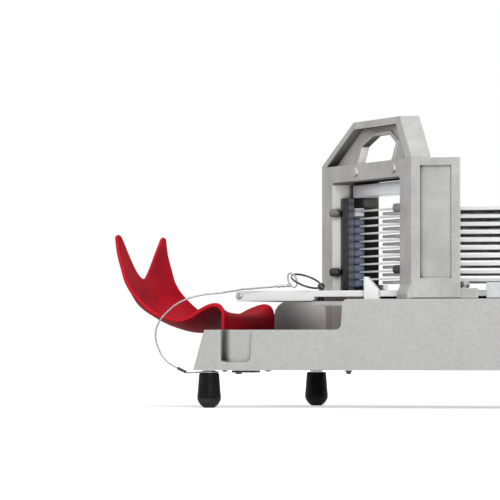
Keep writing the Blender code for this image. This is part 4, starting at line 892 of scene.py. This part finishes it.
@dataclass
class Base:
    """Cast tray with its rails, slide board and the plate under it."""

    finishes: Finishes
    bolt_gap: float = 0.2 * MM
    tray_bolts: tuple[tuple[float, float, float, float], ...] = (
        (-188.5, -80.0, 2.5, 1.2), (-151.4, -80.0, 2.9, 1.0), (-82.7, -80.0, 2.9, 2.9))

    def build(self) -> None:
        """Dress the castings and make the small fasteners."""
        dress(self.finishes.base, "base_casting")
        dress(self.finishes.dark, "underside_plate")
        for side in Side:
            softened(f"guide_rail_{side}", Body.BASE, "steel", self.finishes.rail, 0.0006)
            for end in ENDS:
                self.pan_screw(f"rail_screw_{side}_{end}")
        for node in ("slide_board", "board_corner_guide"):
            softened(node, Body.BASE, "white_plastic", self.finishes.white)
        self.edge_screw("board_edge_screw")
        for number, place in enumerate(self.tray_bolts, 1):
            self.tray_bolt(f"tray_bolt_{number}", *place)

    def tray_bolt(self, name: str, x: float, y: float, radius: float, reach: float) -> None:
        """A small black bolt end under the tray: a washer, then a hexagon end.

        Args:
            name: The piece's name.
            x: Its place from the base's middle, in millimetres.
            y: The same across the base.
            radius: Washer's radius in millimetres.
            reach: How far it hangs below the tray, in millimetres.
        """
        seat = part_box("base_casting")[0].z - self.bolt_gap
        flange = min(reach * 0.45, 1.0)
        profile = [(0.0, 0.0), (radius, 0.0), (radius, -flange), (radius * 0.72, -flange),
                   (radius * 0.72, -reach * 0.9), (radius * 0.6, -reach), (0.0, -reach)]
        made = turned_piece(name, np.array(profile) * MM, (x * MM + BASE_X, y * MM, seat), UP,
                            self.finishes.dark, ripple=hexagon_rings(3, 4))
        finish_piece(made, Body.BASE, "dark_steel")

    def pan_screw(self, node: str) -> None:
        """A pan head with a hexagon socket in the place of a plain head.

        The profile runs from the sole over a quarter-round shoulder to the socket's
        floor; the socket's rings follow a hexagon.
        """
        box = Extent(node)
        radius, tall = box.wide / 2.0, box.tall
        socket = radius * 0.48
        shoulder = [(radius - tall * 0.6 * (1.0 - math.cos(a)), tall * (0.4 + 0.6 * math.sin(a)))
                    for a in np.radians(np.linspace(0.0, 90.0, 7))]
        profile = [(0.0, 0.0), (radius, 0.0), *shoulder, (socket, tall), (socket, tall * 0.45),
                   (0.0, tall * 0.40)]
        made = turned_piece(node + "_head", profile, box.sole, UP, self.finishes.bright,
                            ripple=hexagon_rings(len(profile) - 3, len(profile)))
        finish_piece(made, Body.BASE, "steel", node)

    def edge_screw(self, node: str) -> None:
        """A low round head with a straight slot on the board's near edge."""
        box = Extent(node)
        radius, tall = box.wide / 2.0, box.deep
        crown = [(radius * math.cos(a), tall * (0.35 + 0.65 * math.sin(a)))
                 for a in np.radians(np.linspace(0.0, 80.0, 8))]
        points, faces = turned([(0.0, 0.0), (radius, 0.0), *crown, (0.0, tall)], 48)
        sunk = (np.abs(points[:, 0]) < radius * 0.16) & (points[:, 2] > tall * 0.5)
        points[:, 2] -= np.where(sunk, tall * 0.4, 0.0)
        surface = placed((points, faces), (box.middle.x, box.high.y, box.middle.z), TO_NEAR)
        finish_piece(mesh_piece(node + "_head", surface, self.finishes.edge_steel), Body.BASE,
                     "steel", node)


@dataclass
class Feet:
    """Four rubber feet with their washers."""

    finishes: Finishes
    sides: int = 72
    rib: float = 0.12 * MM
    sole: float = 4.2 * MM
    dome: float = 7.4 * MM
    top: float = 8.2 * MM
    edge: float = 1.3 * MM
    dome_knots: tuple[tuple[float, float], ...] = ((0.0, 0.0), (0.47, 0.28), (0.80, 0.62),
                                                   (0.95, 0.86), (1.0, 1.0))

    def build(self) -> None:
        """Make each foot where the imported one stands."""
        for end in ENDS:
            for side in Side:
                self.foot(f"foot_{side}_{end}")
                dress(self.finishes.steel, f"washer_{side}_{end}")

    def foot(self, node: str) -> None:
        """A tapered foot on a domed end.

        The dome's radius is r0 + (R - r0) a(h), with a read from a smooth curve through the
        dome's knots. Above a short band the radius falls evenly with height. A faint ring,
        rib exp(-((h - h0) / 0.4 mm)^2), marks the mould's joint.
        """
        box = Extent(node)
        wide, tall = box.wide / 2.0, box.tall
        knots = smooth_line(np.array(self.dome_knots), 5)
        dome = np.stack([self.sole + (wide - self.sole) * np.minimum(knots[:, 0], 1.0),
                         self.dome * knots[:, 1]], axis=1)
        body = np.linspace(self.dome + 2.0 * MM, tall - self.edge, 22)
        share = (body - body[0]) / (body[-1] - body[0])
        swell = self.rib * np.exp(-((body - body[0] - 1.0 * MM) / (0.4 * MM)) ** 2)
        barrel = np.minimum(wide, wide + (self.top - wide) * share + swell)
        edge = [(self.top - self.edge * (1.0 - math.cos(a)),
                 tall - self.edge + self.edge * math.sin(a))
                for a in np.radians(np.linspace(0.0, 90.0, 6))]
        profile = [(0.0, 0.0), *dome, *zip(barrel, body), *edge, (0.0, tall)]
        made = turned_piece(node + "_rubber", profile, box.sole, UP, self.finishes.rubber,
                            self.sides)
        finish_piece(made, Body.BASE, "black_rubber", node)


@dataclass
class BladeFrame:
    """Skew cast frame with its bolts and the blade cartridge inside it."""

    finishes: Finishes
    knurls: int = 30
    head: float = 7.5 * MM
    joint: float = 0.5 * MM
    blade_room: float = 1.9 * MM
    spacer_front: float = 17.8 * MM
    blade_front: float = 22.7 * MM
    spacer_back: float = 26.8 * MM
    overlap: float = 0.2 * MM

    def build(self) -> None:
        """Dress the casting and make the cartridge's pieces."""
        looks = self.finishes
        dress(looks.frame, "blade_frame")
        dress(looks.blade, *(f"blade_{number:02d}" for number in range(1, BLADES + 1)))
        softened("cartridge_top_plate", Body.BASE, "white_plastic", looks.plate, 0.0008)
        for side in Side:
            self.spacers(f"spacer_stack_{side}")
            softened(f"blade_holder_{side}", Body.BASE, "dark_steel", looks.holder)
            softened(f"blade_clamp_{side}", Body.BASE, "spacer_plastic", looks.clamp)
            softened(f"end_block_{side}", Body.BASE, "white_plastic", looks.block)
            self.frame_bolt(f"frame_bolt_{side}")
            self.cap_screw(f"cartridge_screw_{side}_lower", looks.dark)
            # The upper screw's lighter finish is a painted highlight.
            self.cap_screw(f"cartridge_screw_{side}_upper", looks.worn)

    def spacers(self, node: str) -> None:
        """Ten spacers, each a wide head before the blades' ends and a leaf between them.

        Head i runs from half a joint over blade i's level to half a joint under the next;
        the leaf behind it leaves half the blade's room at each end. A point at depth d
        behind the output face has x = FACE_X + d - SKEW y.

        Args:
            node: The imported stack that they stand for.
        """
        box = Extent(node)
        level = FIRST_BLADE + PITCH * np.arange(-1, BLADES - 1)

        def row(front: float, back: float, room: float) -> Array:
            """Corners of boxes that keep half a room from the levels at each end."""
            low = np.maximum(level + room / 2.0, box.low.z)
            high = np.minimum(level + PITCH - room / 2.0, box.high.z)
            ones = np.ones(BLADES)
            return np.stack([np.stack([ones * front, ones * box.low.y, low], axis=1),
                             np.stack([ones * back, ones * box.high.y, high], axis=1)], axis=1)

        points, faces = boxes(np.concatenate([
            row(self.spacer_front, self.blade_front, self.joint),
            row(self.blade_front - self.overlap, self.spacer_back, self.blade_room)]))
        points[:, 0] += FACE_X - SKEW * points[:, 1]
        made = mesh_piece(node + "_leaves", (points, faces), self.finishes.spacer, 0.0)
        finish_piece(rounded_edges(made, 0.15 * MM), Body.BASE, "spacer_plastic", node)

    def frame_bolt(self, node: str) -> None:
        """A hexagon head with a washer face and a turned chamfer on top."""
        box = Extent(node)
        radius, tall = box.wide / 2.0, box.tall
        profile = [(0.0, 0.0), (radius * 0.84, 0.0), (radius * 0.84, tall * 0.12),
                   (radius, tall * 0.14), (radius, tall * 0.88), (radius * 0.86, tall),
                   (0.0, tall)]
        made = turned_piece(node + "_head", profile, box.sole, UP, self.finishes.bright, 72,
                            hexagon_rings(3, 4))
        finish_piece(made, Body.BASE, "steel", node)

    def cap_screw(self, node: str, material: Material) -> None:
        """A knurled cap screw with a hexagon socket that faces the catcher.

        The head's rings shrink by up to one part in twenty with cos(knurls a), and the
        socket's rings follow a hexagon.
        """
        box = Extent(node)
        radius, length = box.tall / 2.0, box.wide
        neck, socket, shoulder = radius * 0.63, radius * 0.55, length - self.head
        profile = [(0.0, 0.0), (neck, 0.0), (neck, shoulder), (radius, shoulder),
                   (radius, shoulder + 0.4 * MM), (radius, length - 1.5 * MM),
                   (radius * 0.9, length - 0.4 * MM), (radius * 0.78, length),
                   (socket, length), (socket, length - 3.0 * MM), (0.0, length - 3.2 * MM)]

        def ripple(angle: Array, ring: Array) -> Array:
            """Knurls on the head's side and a hexagon in its socket."""
            knurl = 1.0 - 0.025 * (1.0 - np.cos(self.knurls * angle))
            side = (ring >= 4) & (ring <= 5)
            return np.where(ring >= 8, hexagon(angle), np.where(side, knurl, 1.0))

        made = turned_piece(node + "_knurled", profile,
                            (box.high.x, box.middle.y, box.middle.z), TO_LEFT, material,
                            self.knurls * 6, ripple)
        finish_piece(made, Body.BASE, "dark_steel", node)


@dataclass
class LockPin:
    """Pin with a bored ball, a split ring and the wire rope to the near left foot."""

    finishes: Finishes
    pin_radius: float = 1.9 * MM
    pin_edge: float = 0.8 * MM
    ball_radius: float = 2.9 * MM
    bore: float = 1.3 * MM
    ring_radius: float = 12.8 * MM
    ring_wire: float = 0.42 * MM
    ring_layer: float = 0.40 * MM
    ring_lean: Triple = (-0.8885, -0.3234, 0.3256)
    ring_normal: Triple = (0.4016, -0.2050, 0.8925)
    rope_radius: float = 0.7 * MM
    rope_step: float = 0.45 * MM
    crimp_radius: float = 1.3 * MM
    crimp_length: float = 8.0 * MM
    crimp_edge: float = 0.4 * MM
    crimp_gap: float = 0.3 * MM
    loop_radius: float = 7.2 * MM
    bight_centre: Triple = (-139.7, -54.3, 103.3)
    bight_half_length: float = 3.3 * MM
    bight_half_height: float = 6.0 * MM
    bight_join: float = math.radians(215.0)
    route: tuple[Triple, ...] = (
        (-152.3, -57.2, 98.3), (-158.5, -58.6, 97.6), (-164.8, -59.6, 97.2),
        (-173.7, -60.6, 96.4), (-180.3, -61.6, 96.0), (-186.0, -62.8, 94.9),
        (-192.0, -64.0, 94.0), (-198.2, -66.0, 93.0), (-209.2, -72.0, 91.8),
        (-220.3, -77.5, 88.8), (-230.5, -82.0, 83.4), (-239.5, -85.4, 74.6),
        (-244.3, -87.3, 66.6), (-245.6, -88.2, 58.6), (-244.0, -88.4, 50.6),
        (-240.5, -88.2, 43.0), (-237.0, -87.8, 38.6), (-233.5, -87.5, 35.6),
        (-230.2, -87.3, 33.7), (-227.0, -87.1, 32.2),
    )

    def __post_init__(self) -> None:
        """Work out the pin's eye, the ring's plane and the rope's middle line."""
        self.box = Extent("lock_pin")
        self.eye = np.array([self.box.middle.x, self.box.middle.y,
                             self.box.high.z - self.ball_radius])
        self.lean = np.array(Vector(self.ring_lean).normalized())
        self.across = unit(np.cross(np.array(self.ring_normal), self.lean))
        self.line = even_line(smooth_line(self.from_base(self.route), 24), self.rope_step)

    def build(self) -> None:
        """Make the pin, its ring, the rope and the rope's two ends."""
        self.pin()
        self.ring()
        self.rope([self.upper_ferrule(), *self.lower_end()])

    def from_base(self, places: Iterable[Any]) -> Array:
        """Places given in millimetres from the base's middle, in the model's frame."""
        return np.array(places) * MM + np.array([BASE_X, 0.0, 0.0])

    def pin(self) -> None:
        """A stem turned about Z, and a ball turned about its bore.

        The ball's profile is the arc of its sphere outside the bore, closed by the bore.
        """
        ball, radius, edge = self.ball_radius, self.pin_radius, self.pin_edge
        tip, eye = self.box.low.z, self.eye[2]
        stem = [(0.0, tip), (radius - edge, tip), (radius, tip + edge),
                (radius, eye - 2.1 * MM), (0.0, eye - 2.0 * MM)]
        turn = math.asin(self.bore / ball)
        arc = np.linspace(-math.pi / 2.0 + turn, math.pi / 2.0 - turn, 25)
        bead = [(ball * math.cos(a), ball * math.sin(a)) for a in arc]
        surface = joined(placed(turned(stem, 48), (self.eye[0], self.eye[1], 0.0)),
                         placed(turned([*bead, bead[0]], 48), self.eye, self.across))
        finish_piece(mesh_piece("lock_pin_turned", surface, self.finishes.dark), Body.PIN,
                     "dark_steel", "lock_pin")

    def ring(self) -> None:
        """A split ring: two flat-wound turns of wire that lie side by side.

        The path is C + R (u cos a + v sin a) + n w over two turns, with u and v in the
        ring's plane and n square to it. It steps from one layer to the other in a short
        smooth rise, w = h tanh((a - 2 pi) / 0.3).
        """
        angle = np.linspace(0.12, 2.0 * TURN - 0.12, 180)[:, None]
        layer = self.ring_layer * np.tanh((angle - TURN) / 0.3)
        normal = np.cross(self.lean, self.across)
        path = (self.eye + self.lean * self.ring_radius
                + self.ring_radius * (self.lean * np.cos(angle) + self.across * np.sin(angle))
                + normal * layer)
        made = mesh_piece("split_ring_wound", tube(path, self.ring_wire, 12, normal, False),
                          self.finishes.dark)
        finish_piece(made, Body.PIN, "dark_steel", "split_ring")

    def sleeve(self, start: Array, end: Array) -> Surface:
        """A crimped sleeve with two pressed waists.

        The sleeve's radius is R (1 - 0.2 (g1 + g2)), with g a bell curve at each waist.

        Args:
            start: Middle of one end.
            end: Middle of the other.

        Returns:
            The points and the faces.
        """
        length = float(np.linalg.norm(end - start))
        along = np.linspace(0.0, length, 40)
        share = along / length
        bell = np.exp(-((share - 0.3) / 0.09) ** 2) + np.exp(-((share - 0.7) / 0.09) ** 2)
        rim = np.minimum(1.0, np.minimum(along, length - along) / self.crimp_edge)
        radius = (self.crimp_radius * (1.0 - 0.2 * bell)
                  - self.crimp_edge * (1.0 - np.sqrt(1.0 - (1.0 - rim) ** 2)))
        profile = [(0.0, 0.0), *zip(radius, along), (0.0, length)]
        return placed(turned(profile, 36), start, (end - start) / length)

    def upper_ferrule(self) -> Piece:
        """The ferrule by the ring, and its upright bight threaded on the ring.

        The bight is an ellipse, C + a f cos t + b u sin t, with f towards the ring and u
        rising square to it.
        """
        centre = self.from_base(self.bight_centre)
        end = self.line[0] - unit(self.line[8] - self.line[0]) * self.crimp_gap
        ahead = unit(centre - end)
        rising = np.cross(unit(np.cross(ahead, np.array(UP))), ahead)
        angle = np.linspace(0.0, TURN, 80, endpoint=False)[:, None]
        along, up = ahead * self.bight_half_length, rising * self.bight_half_height
        bight = centre + along * np.cos(angle) + up * np.sin(angle)
        start = centre + along * math.cos(self.bight_join) + up * math.sin(self.bight_join)
        normal = np.cross(bight[1] - bight[0], bight[2] - bight[1])
        made = mesh_piece("ring_ferrule", joined(
            self.sleeve(start, end), tube(bight, self.rope_radius, 18, normal, closed=True)),
            self.finishes.edge_steel)
        return finish_piece(made, Body.PIN, "steel", "ring_crimp")

    def lower_end(self) -> tuple[Piece, Piece]:
        """The ferrule by the foot and the rope's loop round the foot's neck.

        The loop is an arc of 250 degrees about the neck whose two ends run straight to
        the ferrule.
        """
        heading = unit(self.line[-1] - self.line[-9])
        start = self.line[-1] + heading * self.crimp_gap
        end = start + heading * self.crimp_length
        lower = mesh_piece("foot_ferrule", self.sleeve(start, end), self.finishes.dark)
        finish_piece(lower, Body.BASE, "dark_steel", "foot_crimp")
        low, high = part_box("foot_loop")
        foot = Extent("foot_near_left").middle
        arc = np.radians(np.linspace(-125.0, 125.0, 60))
        neck = np.stack([foot.x + self.loop_radius * np.cos(arc),
                         foot.y + self.loop_radius * np.sin(arc),
                         np.full(60, (low.z + high.z) / 2.0)], axis=1)
        join = end + heading * (self.crimp_gap + self.rope_radius)
        share = np.linspace(0.0, 1.0, 26)[1:, None]
        path = np.concatenate([neck, neck[-1] + (join - neck[-1]) * share,
                               join + (neck[0] - join) * share[:-1]])
        loop = mesh_piece("foot_wire_loop", tube(path, self.rope_radius * 0.98, 18, UP,
                                                 closed=True), self.finishes.wire)
        finish_piece(loop, Body.BASE, "wire_rope", "foot_loop")
        return lower, loop

    def rope(self, ends: list[Piece]) -> None:
        """The six-stranded rope between the ferrules."""
        made = mesh_piece("lanyard_rope", tube(self.line, self.rope_radius, 24, TO_FAR),
                          self.finishes.wire)
        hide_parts("lanyard_cable")
        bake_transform(made)


@dataclass
class Catcher:
    """Red sheet with two horns, a trough and an arch that hooks over the end wall."""

    finishes: Finishes
    width: float = 122.0 * MM
    tip_width: float = 111.6 * MM
    sheet: float = 3.4 * MM
    notch: float = 40.2 * MM
    notch_power: float = 0.67
    notch_round: float = 0.42
    horn_drop: float = 5.4 * MM
    horn_flat: float = 0.86
    flange: float = -197.6
    hook_low: float = 45.5
    trough: float = 117.0 * MM
    flare: float = 20.0 * MM
    end_fade: float = 20.0 * MM
    rows: tuple[Triple, ...] = (
        (-293.3, -1.4, 145.9), (-291.3, 2.0, 128.0), (-287.7, 4.9, 114.0),
        (-283.6, 6.0, 101.5), (-275.5, 12.0, 90.2), (-260.8, 8.0, 77.4),
        (-248.6, 8.4, 72.8), (-237.6, 8.6, 70.9), (-226.6, 10.0, 74.4),
        (-216.4, 12.5, 79.8), (-206.6, 14.5, 83.2), (-200.4, 12.0, 82.0),
    )
    hook: tuple[tuple[float, float], ...] = ((5.0, 76.0), (0.8, 68.0), (0.0, 58.0))

    def build(self) -> None:
        """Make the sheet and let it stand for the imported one."""
        made = mesh_piece("catcher_sheet", self.surface(150, 72), self.finishes.red, 2e-5)
        finish_piece(made, Body.CATCHER, "red_plastic", "slice_catcher")

    def edge_line(self) -> tuple[Array, Array]:
        """The edge line from horn to hook, with the sag as its Y, and its unit normals."""
        knots = [*self.rows, *((self.flange, sag, z) for sag, z in self.hook),
                 (self.flange, 0.0, self.hook_low)]
        line = even_line(smooth_line(np.array(knots) * MM, 24), 0.5 * MM)
        line[:, 0] += BASE_X
        step = np.gradient(line, axis=0)
        return line, unit(np.stack([-step[:, 2], step[:, 0]], axis=1))

    def depth(self, t: Array) -> Array:
        """How far the upper edge lies below the horn's tip.

        It is D (h(1) - h(t)) / (h(1) - h(0)) with h(t) = hypot(t, e)^p, and past the
        horn's flat it adds the drop times the squared share of what is left.
        """
        level, rim, bottom = (np.hypot(place, self.notch_round) ** self.notch_power
                              for place in (t, 1.0, 0.0))
        corner = np.clip((np.abs(t) - self.horn_flat) / (1.0 - self.horn_flat), 0.0, 1.0)
        return self.notch * (rim - level) / (rim - bottom) + self.horn_drop * corner ** 2

    def surface(self, steps: int, columns: int) -> Surface:
        """The sheet as a closed skin.

        A row at distance s runs across the sheet with t from -1 to 1. Its place is
        P(g) - N(g) sag(g) (1 - t^2), where g = s + n(t) (1 - s / L) draws the rows above
        the trough (s < L) down by the notch's depth n. Across, y is t times the half
        width, which widens beyond the trough. The skin is that surface moved half a sheet
        out on each face, with half-round rims along its sides and ends. Near each end the
        rows draw in by the rim's reach, fading over a short way, so the rim ends where the
        packed sheet does.

        Args:
            steps: Number of rows.
            columns: Points across each face.

        Returns:
            The points and the faces.
        """
        line, normal = self.edge_line()
        length = travelled(line)
        half_sheet = self.sheet / 2.0
        bend = np.linspace(0.0, math.pi / 2.0, 5)[:4]
        distance = np.concatenate([np.zeros(4), np.linspace(0.0, length[-1], steps),
                                   np.full(4, length[-1])])
        thin = np.concatenate([np.sin(bend), np.ones(steps), np.sin(bend[::-1])])
        past = np.concatenate([-np.cos(bend), np.zeros(steps), np.cos(bend[::-1])])
        across = np.sin(np.linspace(-math.pi / 2.0, math.pi / 2.0, columns) * 0.92)
        across /= across[-1]
        cap = np.linspace(math.pi / 2.0, -math.pi / 2.0, 9)[1:-1]
        t = np.concatenate([across, np.ones(7), across[::-1], -np.ones(7)])
        rim = np.concatenate([np.zeros(columns), np.cos(cap), np.zeros(columns), -np.cos(cap)])
        face = np.concatenate([np.ones(columns), np.sin(cap), -np.ones(columns), -np.sin(cap)])
        s = distance[:, None]
        goal = s + self.depth(t)[None, :] * np.clip(1.0 - s / self.trough, 0.0, 1.0)
        x, sag, z, nx, nz = (np.interp(goal, length, row) for row in (*line.T, *normal.T))
        size = np.hypot(nx, nz)
        nx, nz = nx / size, nz / size
        sag = sag * (1.0 - t * t)
        flare = np.clip((goal - self.trough) / self.flare, 0.0, 1.0)
        half = (self.tip_width + flare * (self.width - self.tip_width)) / 2.0 - half_sheet
        out = half_sheet * face * thin[:, None]
        first = np.clip(1.0 - distance / self.end_fade, 0.0, 1.0)
        last = np.clip(1.0 - (length[-1] - distance) / self.end_fade, 0.0, 1.0)
        slide = (half_sheet * 0.9 * (past + first - last))[:, None]
        points = np.stack([x + nx * (out - sag) + nz * slide,
                           t * half + half_sheet * rim * thin[:, None],
                           z + nz * (out - sag) - nx * slide], axis=-1)
        return points.reshape(-1, 3), grid_faces(len(distance), len(t))


@dataclass
class Pusher:
    """Sliding carriage with its white fingers, guide shoes and black grip."""

    finishes: Finishes
    ridges: int = 9
    ridge_depth: float = 0.45 * MM
    end_depth: float = 2.2 * MM
    rod_chamfer: float = 0.6 * MM

    def build(self) -> None:
        """Dress the carriage and make the grip, rod, nuts and shoes."""
        dress(self.finishes.carriage, "pusher_carriage")
        dress(self.finishes.finger, "pusher_fingers")
        for side in Side:
            softened(f"guide_shoe_{side}", Body.PUSHER, "white_plastic", self.finishes.white,
                     0.0008)
            self.nut(f"handle_nut_{side}", side)
        self.rod()
        self.grip()

    def rod(self) -> None:
        """The grip's bar with chamfered ends."""
        box = Extent("handle_rod")
        radius, length, chamfer = box.tall / 2.0, box.deep, self.rod_chamfer
        profile = [(0.0, 0.0), (radius - chamfer, 0.0), (radius, chamfer),
                   (radius, length - chamfer), (radius - chamfer, length), (0.0, length)]
        made = turned_piece("handle_bar", profile, (box.middle.x, box.low.y, box.middle.z),
                            TO_FAR, self.finishes.steel)
        finish_piece(made, Body.PUSHER, "steel", "handle_rod")

    def nut(self, node: str, side: Side) -> None:
        """A hexagon nut with a chamfer on both faces and a bored middle."""
        box = Extent(node)
        radius, length = box.wide / 2.0, box.deep
        profile = [(ROD_BORE, 0.0), (radius * 0.86, 0.0), (radius, length * 0.14),
                   (radius, length * 0.86), (radius * 0.86, length), (ROD_BORE, length),
                   (ROD_BORE, 0.0)]
        start = box.low.y if side is Side.FAR else box.high.y
        made = turned_piece(node + "_hex", profile, (box.middle.x, start, box.middle.z),
                            (0.0, side.value, 0.0), self.finishes.bright, 72,
                            hexagon_rings(2, 3))
        finish_piece(made, Body.PUSHER, "steel", node)

    def grip(self) -> None:
        """The grip: a bored roll with shallow finger ridges and round ends.

        Its radius is R - d (1 - cos(ridges 2 pi u)) / 2 - e (2 u - 1)^12, with u from 0 to 1
        along it.
        """
        box = Extent("handle_grip")
        length = box.deep
        u = np.linspace(0.0, 1.0, 140)
        wave = self.ridge_depth * (1.0 - np.cos(self.ridges * TURN * u)) / 2.0
        outer = box.tall / 2.0 - wave - self.end_depth * (2.0 * u - 1.0) ** 12
        profile = [(ROD_BORE, 0.0), *zip(outer, u * length), (ROD_BORE, length), (ROD_BORE, 0.0)]
        made = turned_piece("handle_grip_roll", profile,
                            (box.middle.x, box.low.y, box.middle.z), TO_FAR,
                            self.finishes.grip, 72)
        finish_piece(made, Body.PUSHER, "black_plastic", "handle_grip")


@dataclass
class Studio:
    """Pale floor, white surround, soft lamps and a long-lens camera."""

    distance: float = 4.0
    turn: float = math.radians(20.0)
    eye_height: float = 0.050
    aim: Triple = (-0.196, 0.0, 0.1292)
    lens: float = 348.7
    lamps: tuple[tuple[str, Triple, float, float], ...] = (
        ("key", (1.3, -2.6, 1.5), 1.5, 58.0),
        ("fill", (-2.2, -1.6, 1.2), 1.6, 5.0),
        ("top", (-0.2, 0.5, 2.3), 1.8, 18.0),
    )
    ambient: float = 0.30
    floor_reach: float = 30.0

    def build(self) -> None:
        """Set the floor, the world, the lamps and the camera."""
        self.floor()
        self.world()
        target = Vector((self.aim[0] + BASE_X, self.aim[1], self.aim[2]))
        for name, place, size, power in self.lamps:
            light = bpy.data.lights.new(name, "AREA")
            light.size = size
            light.energy = power
            lamp = linked(name, light)
            lamp.location = place
            lamp.rotation_euler = (target - lamp.location).to_track_quat("-Z", "Y").to_euler()
        self.camera(target)
        bpy.context.scene.view_settings.view_transform = "Standard"

    def camera(self, target: Vector) -> None:
        """A camera at the photograph's angle, a little above the worktop."""
        pitch = math.atan2(target.z - self.eye_height, self.distance)
        ahead = Vector((-math.sin(self.turn) * math.cos(pitch),
                        math.cos(self.turn) * math.cos(pitch), math.sin(pitch)))
        lens = bpy.data.cameras.new("camera")
        lens.lens = self.lens
        lens.sensor_width = 36.0
        lens.clip_end = 60.0
        made = linked("camera", lens)
        made.location = target - ahead * self.distance
        made.rotation_euler = ahead.to_track_quat("-Z", "Y").to_euler()
        bpy.context.scene.camera = made

    def floor(self) -> None:
        """A wide pale floor that stays white to the camera outside the shadow.

        Its glow for rays from the camera and from glossy faces grows with the distance from
        the slicer, where the lamps' light falls off.
        """
        graph = Graph("pale_floor")
        mesh = bpy.data.meshes.new("floor")
        reach = self.floor_reach
        mesh.from_pydata([(-reach, -reach, 0), (reach, -reach, 0), (reach, reach, 0),
                          (-reach, reach, 0)], [], [(0, 1, 2, 3)])
        x, y = graph.along("X"), graph.along("Y")
        away = ((x * x + y * y) ** 0.5).between(0.45, 1.6)
        mesh.materials.append(graph.done((0.80, 0.80, 0.80), 0.9, Specular_IOR_Level=0.0))
        glow = graph.node("Emission", {"Strength": graph.seen() * (0.50 + away * 0.55)})
        nodes = graph.tree.nodes
        both = graph.node("AddShader", {0: nodes["Principled BSDF"].outputs[0],
                                        1: glow.outputs[0]})
        output = next(node for node in nodes if node.type == "OUTPUT_MATERIAL")
        graph.feed(output.inputs["Surface"], both.outputs[0])
        made = linked("floor", mesh)

    def world(self) -> None:
        """White to the camera and in reflections of it, softer as a light."""
        world = bpy.data.worlds.new("surround")
        bpy.context.scene.world = world
        graph = Graph(world)
        strength = graph.node("MapRange", {"Value": graph.seen(), "To Min": self.ambient,
                                           "To Max": 1.0})
        background = graph.tree.nodes["Background"]
        graph.feed(background.inputs["Color"], (1.0, 1.0, 1.0))
        graph.feed(background.inputs["Strength"], strength.outputs["Result"])


def main() -> None:
    """Build every sub-assembly in order, then the studio."""
    logging.basicConfig(level=logging.INFO, format="%(name)s: %(message)s")
    finishes = Finishes()
    for part in (LockPin(finishes), Base(finishes), Feet(finishes), BladeFrame(finishes),
                 Catcher(finishes), Pusher(finishes)):
        part.build()
        LOG.info("%s built", type(part).__name__)
    Studio().build()


if __name__ == "__main__":
    main()
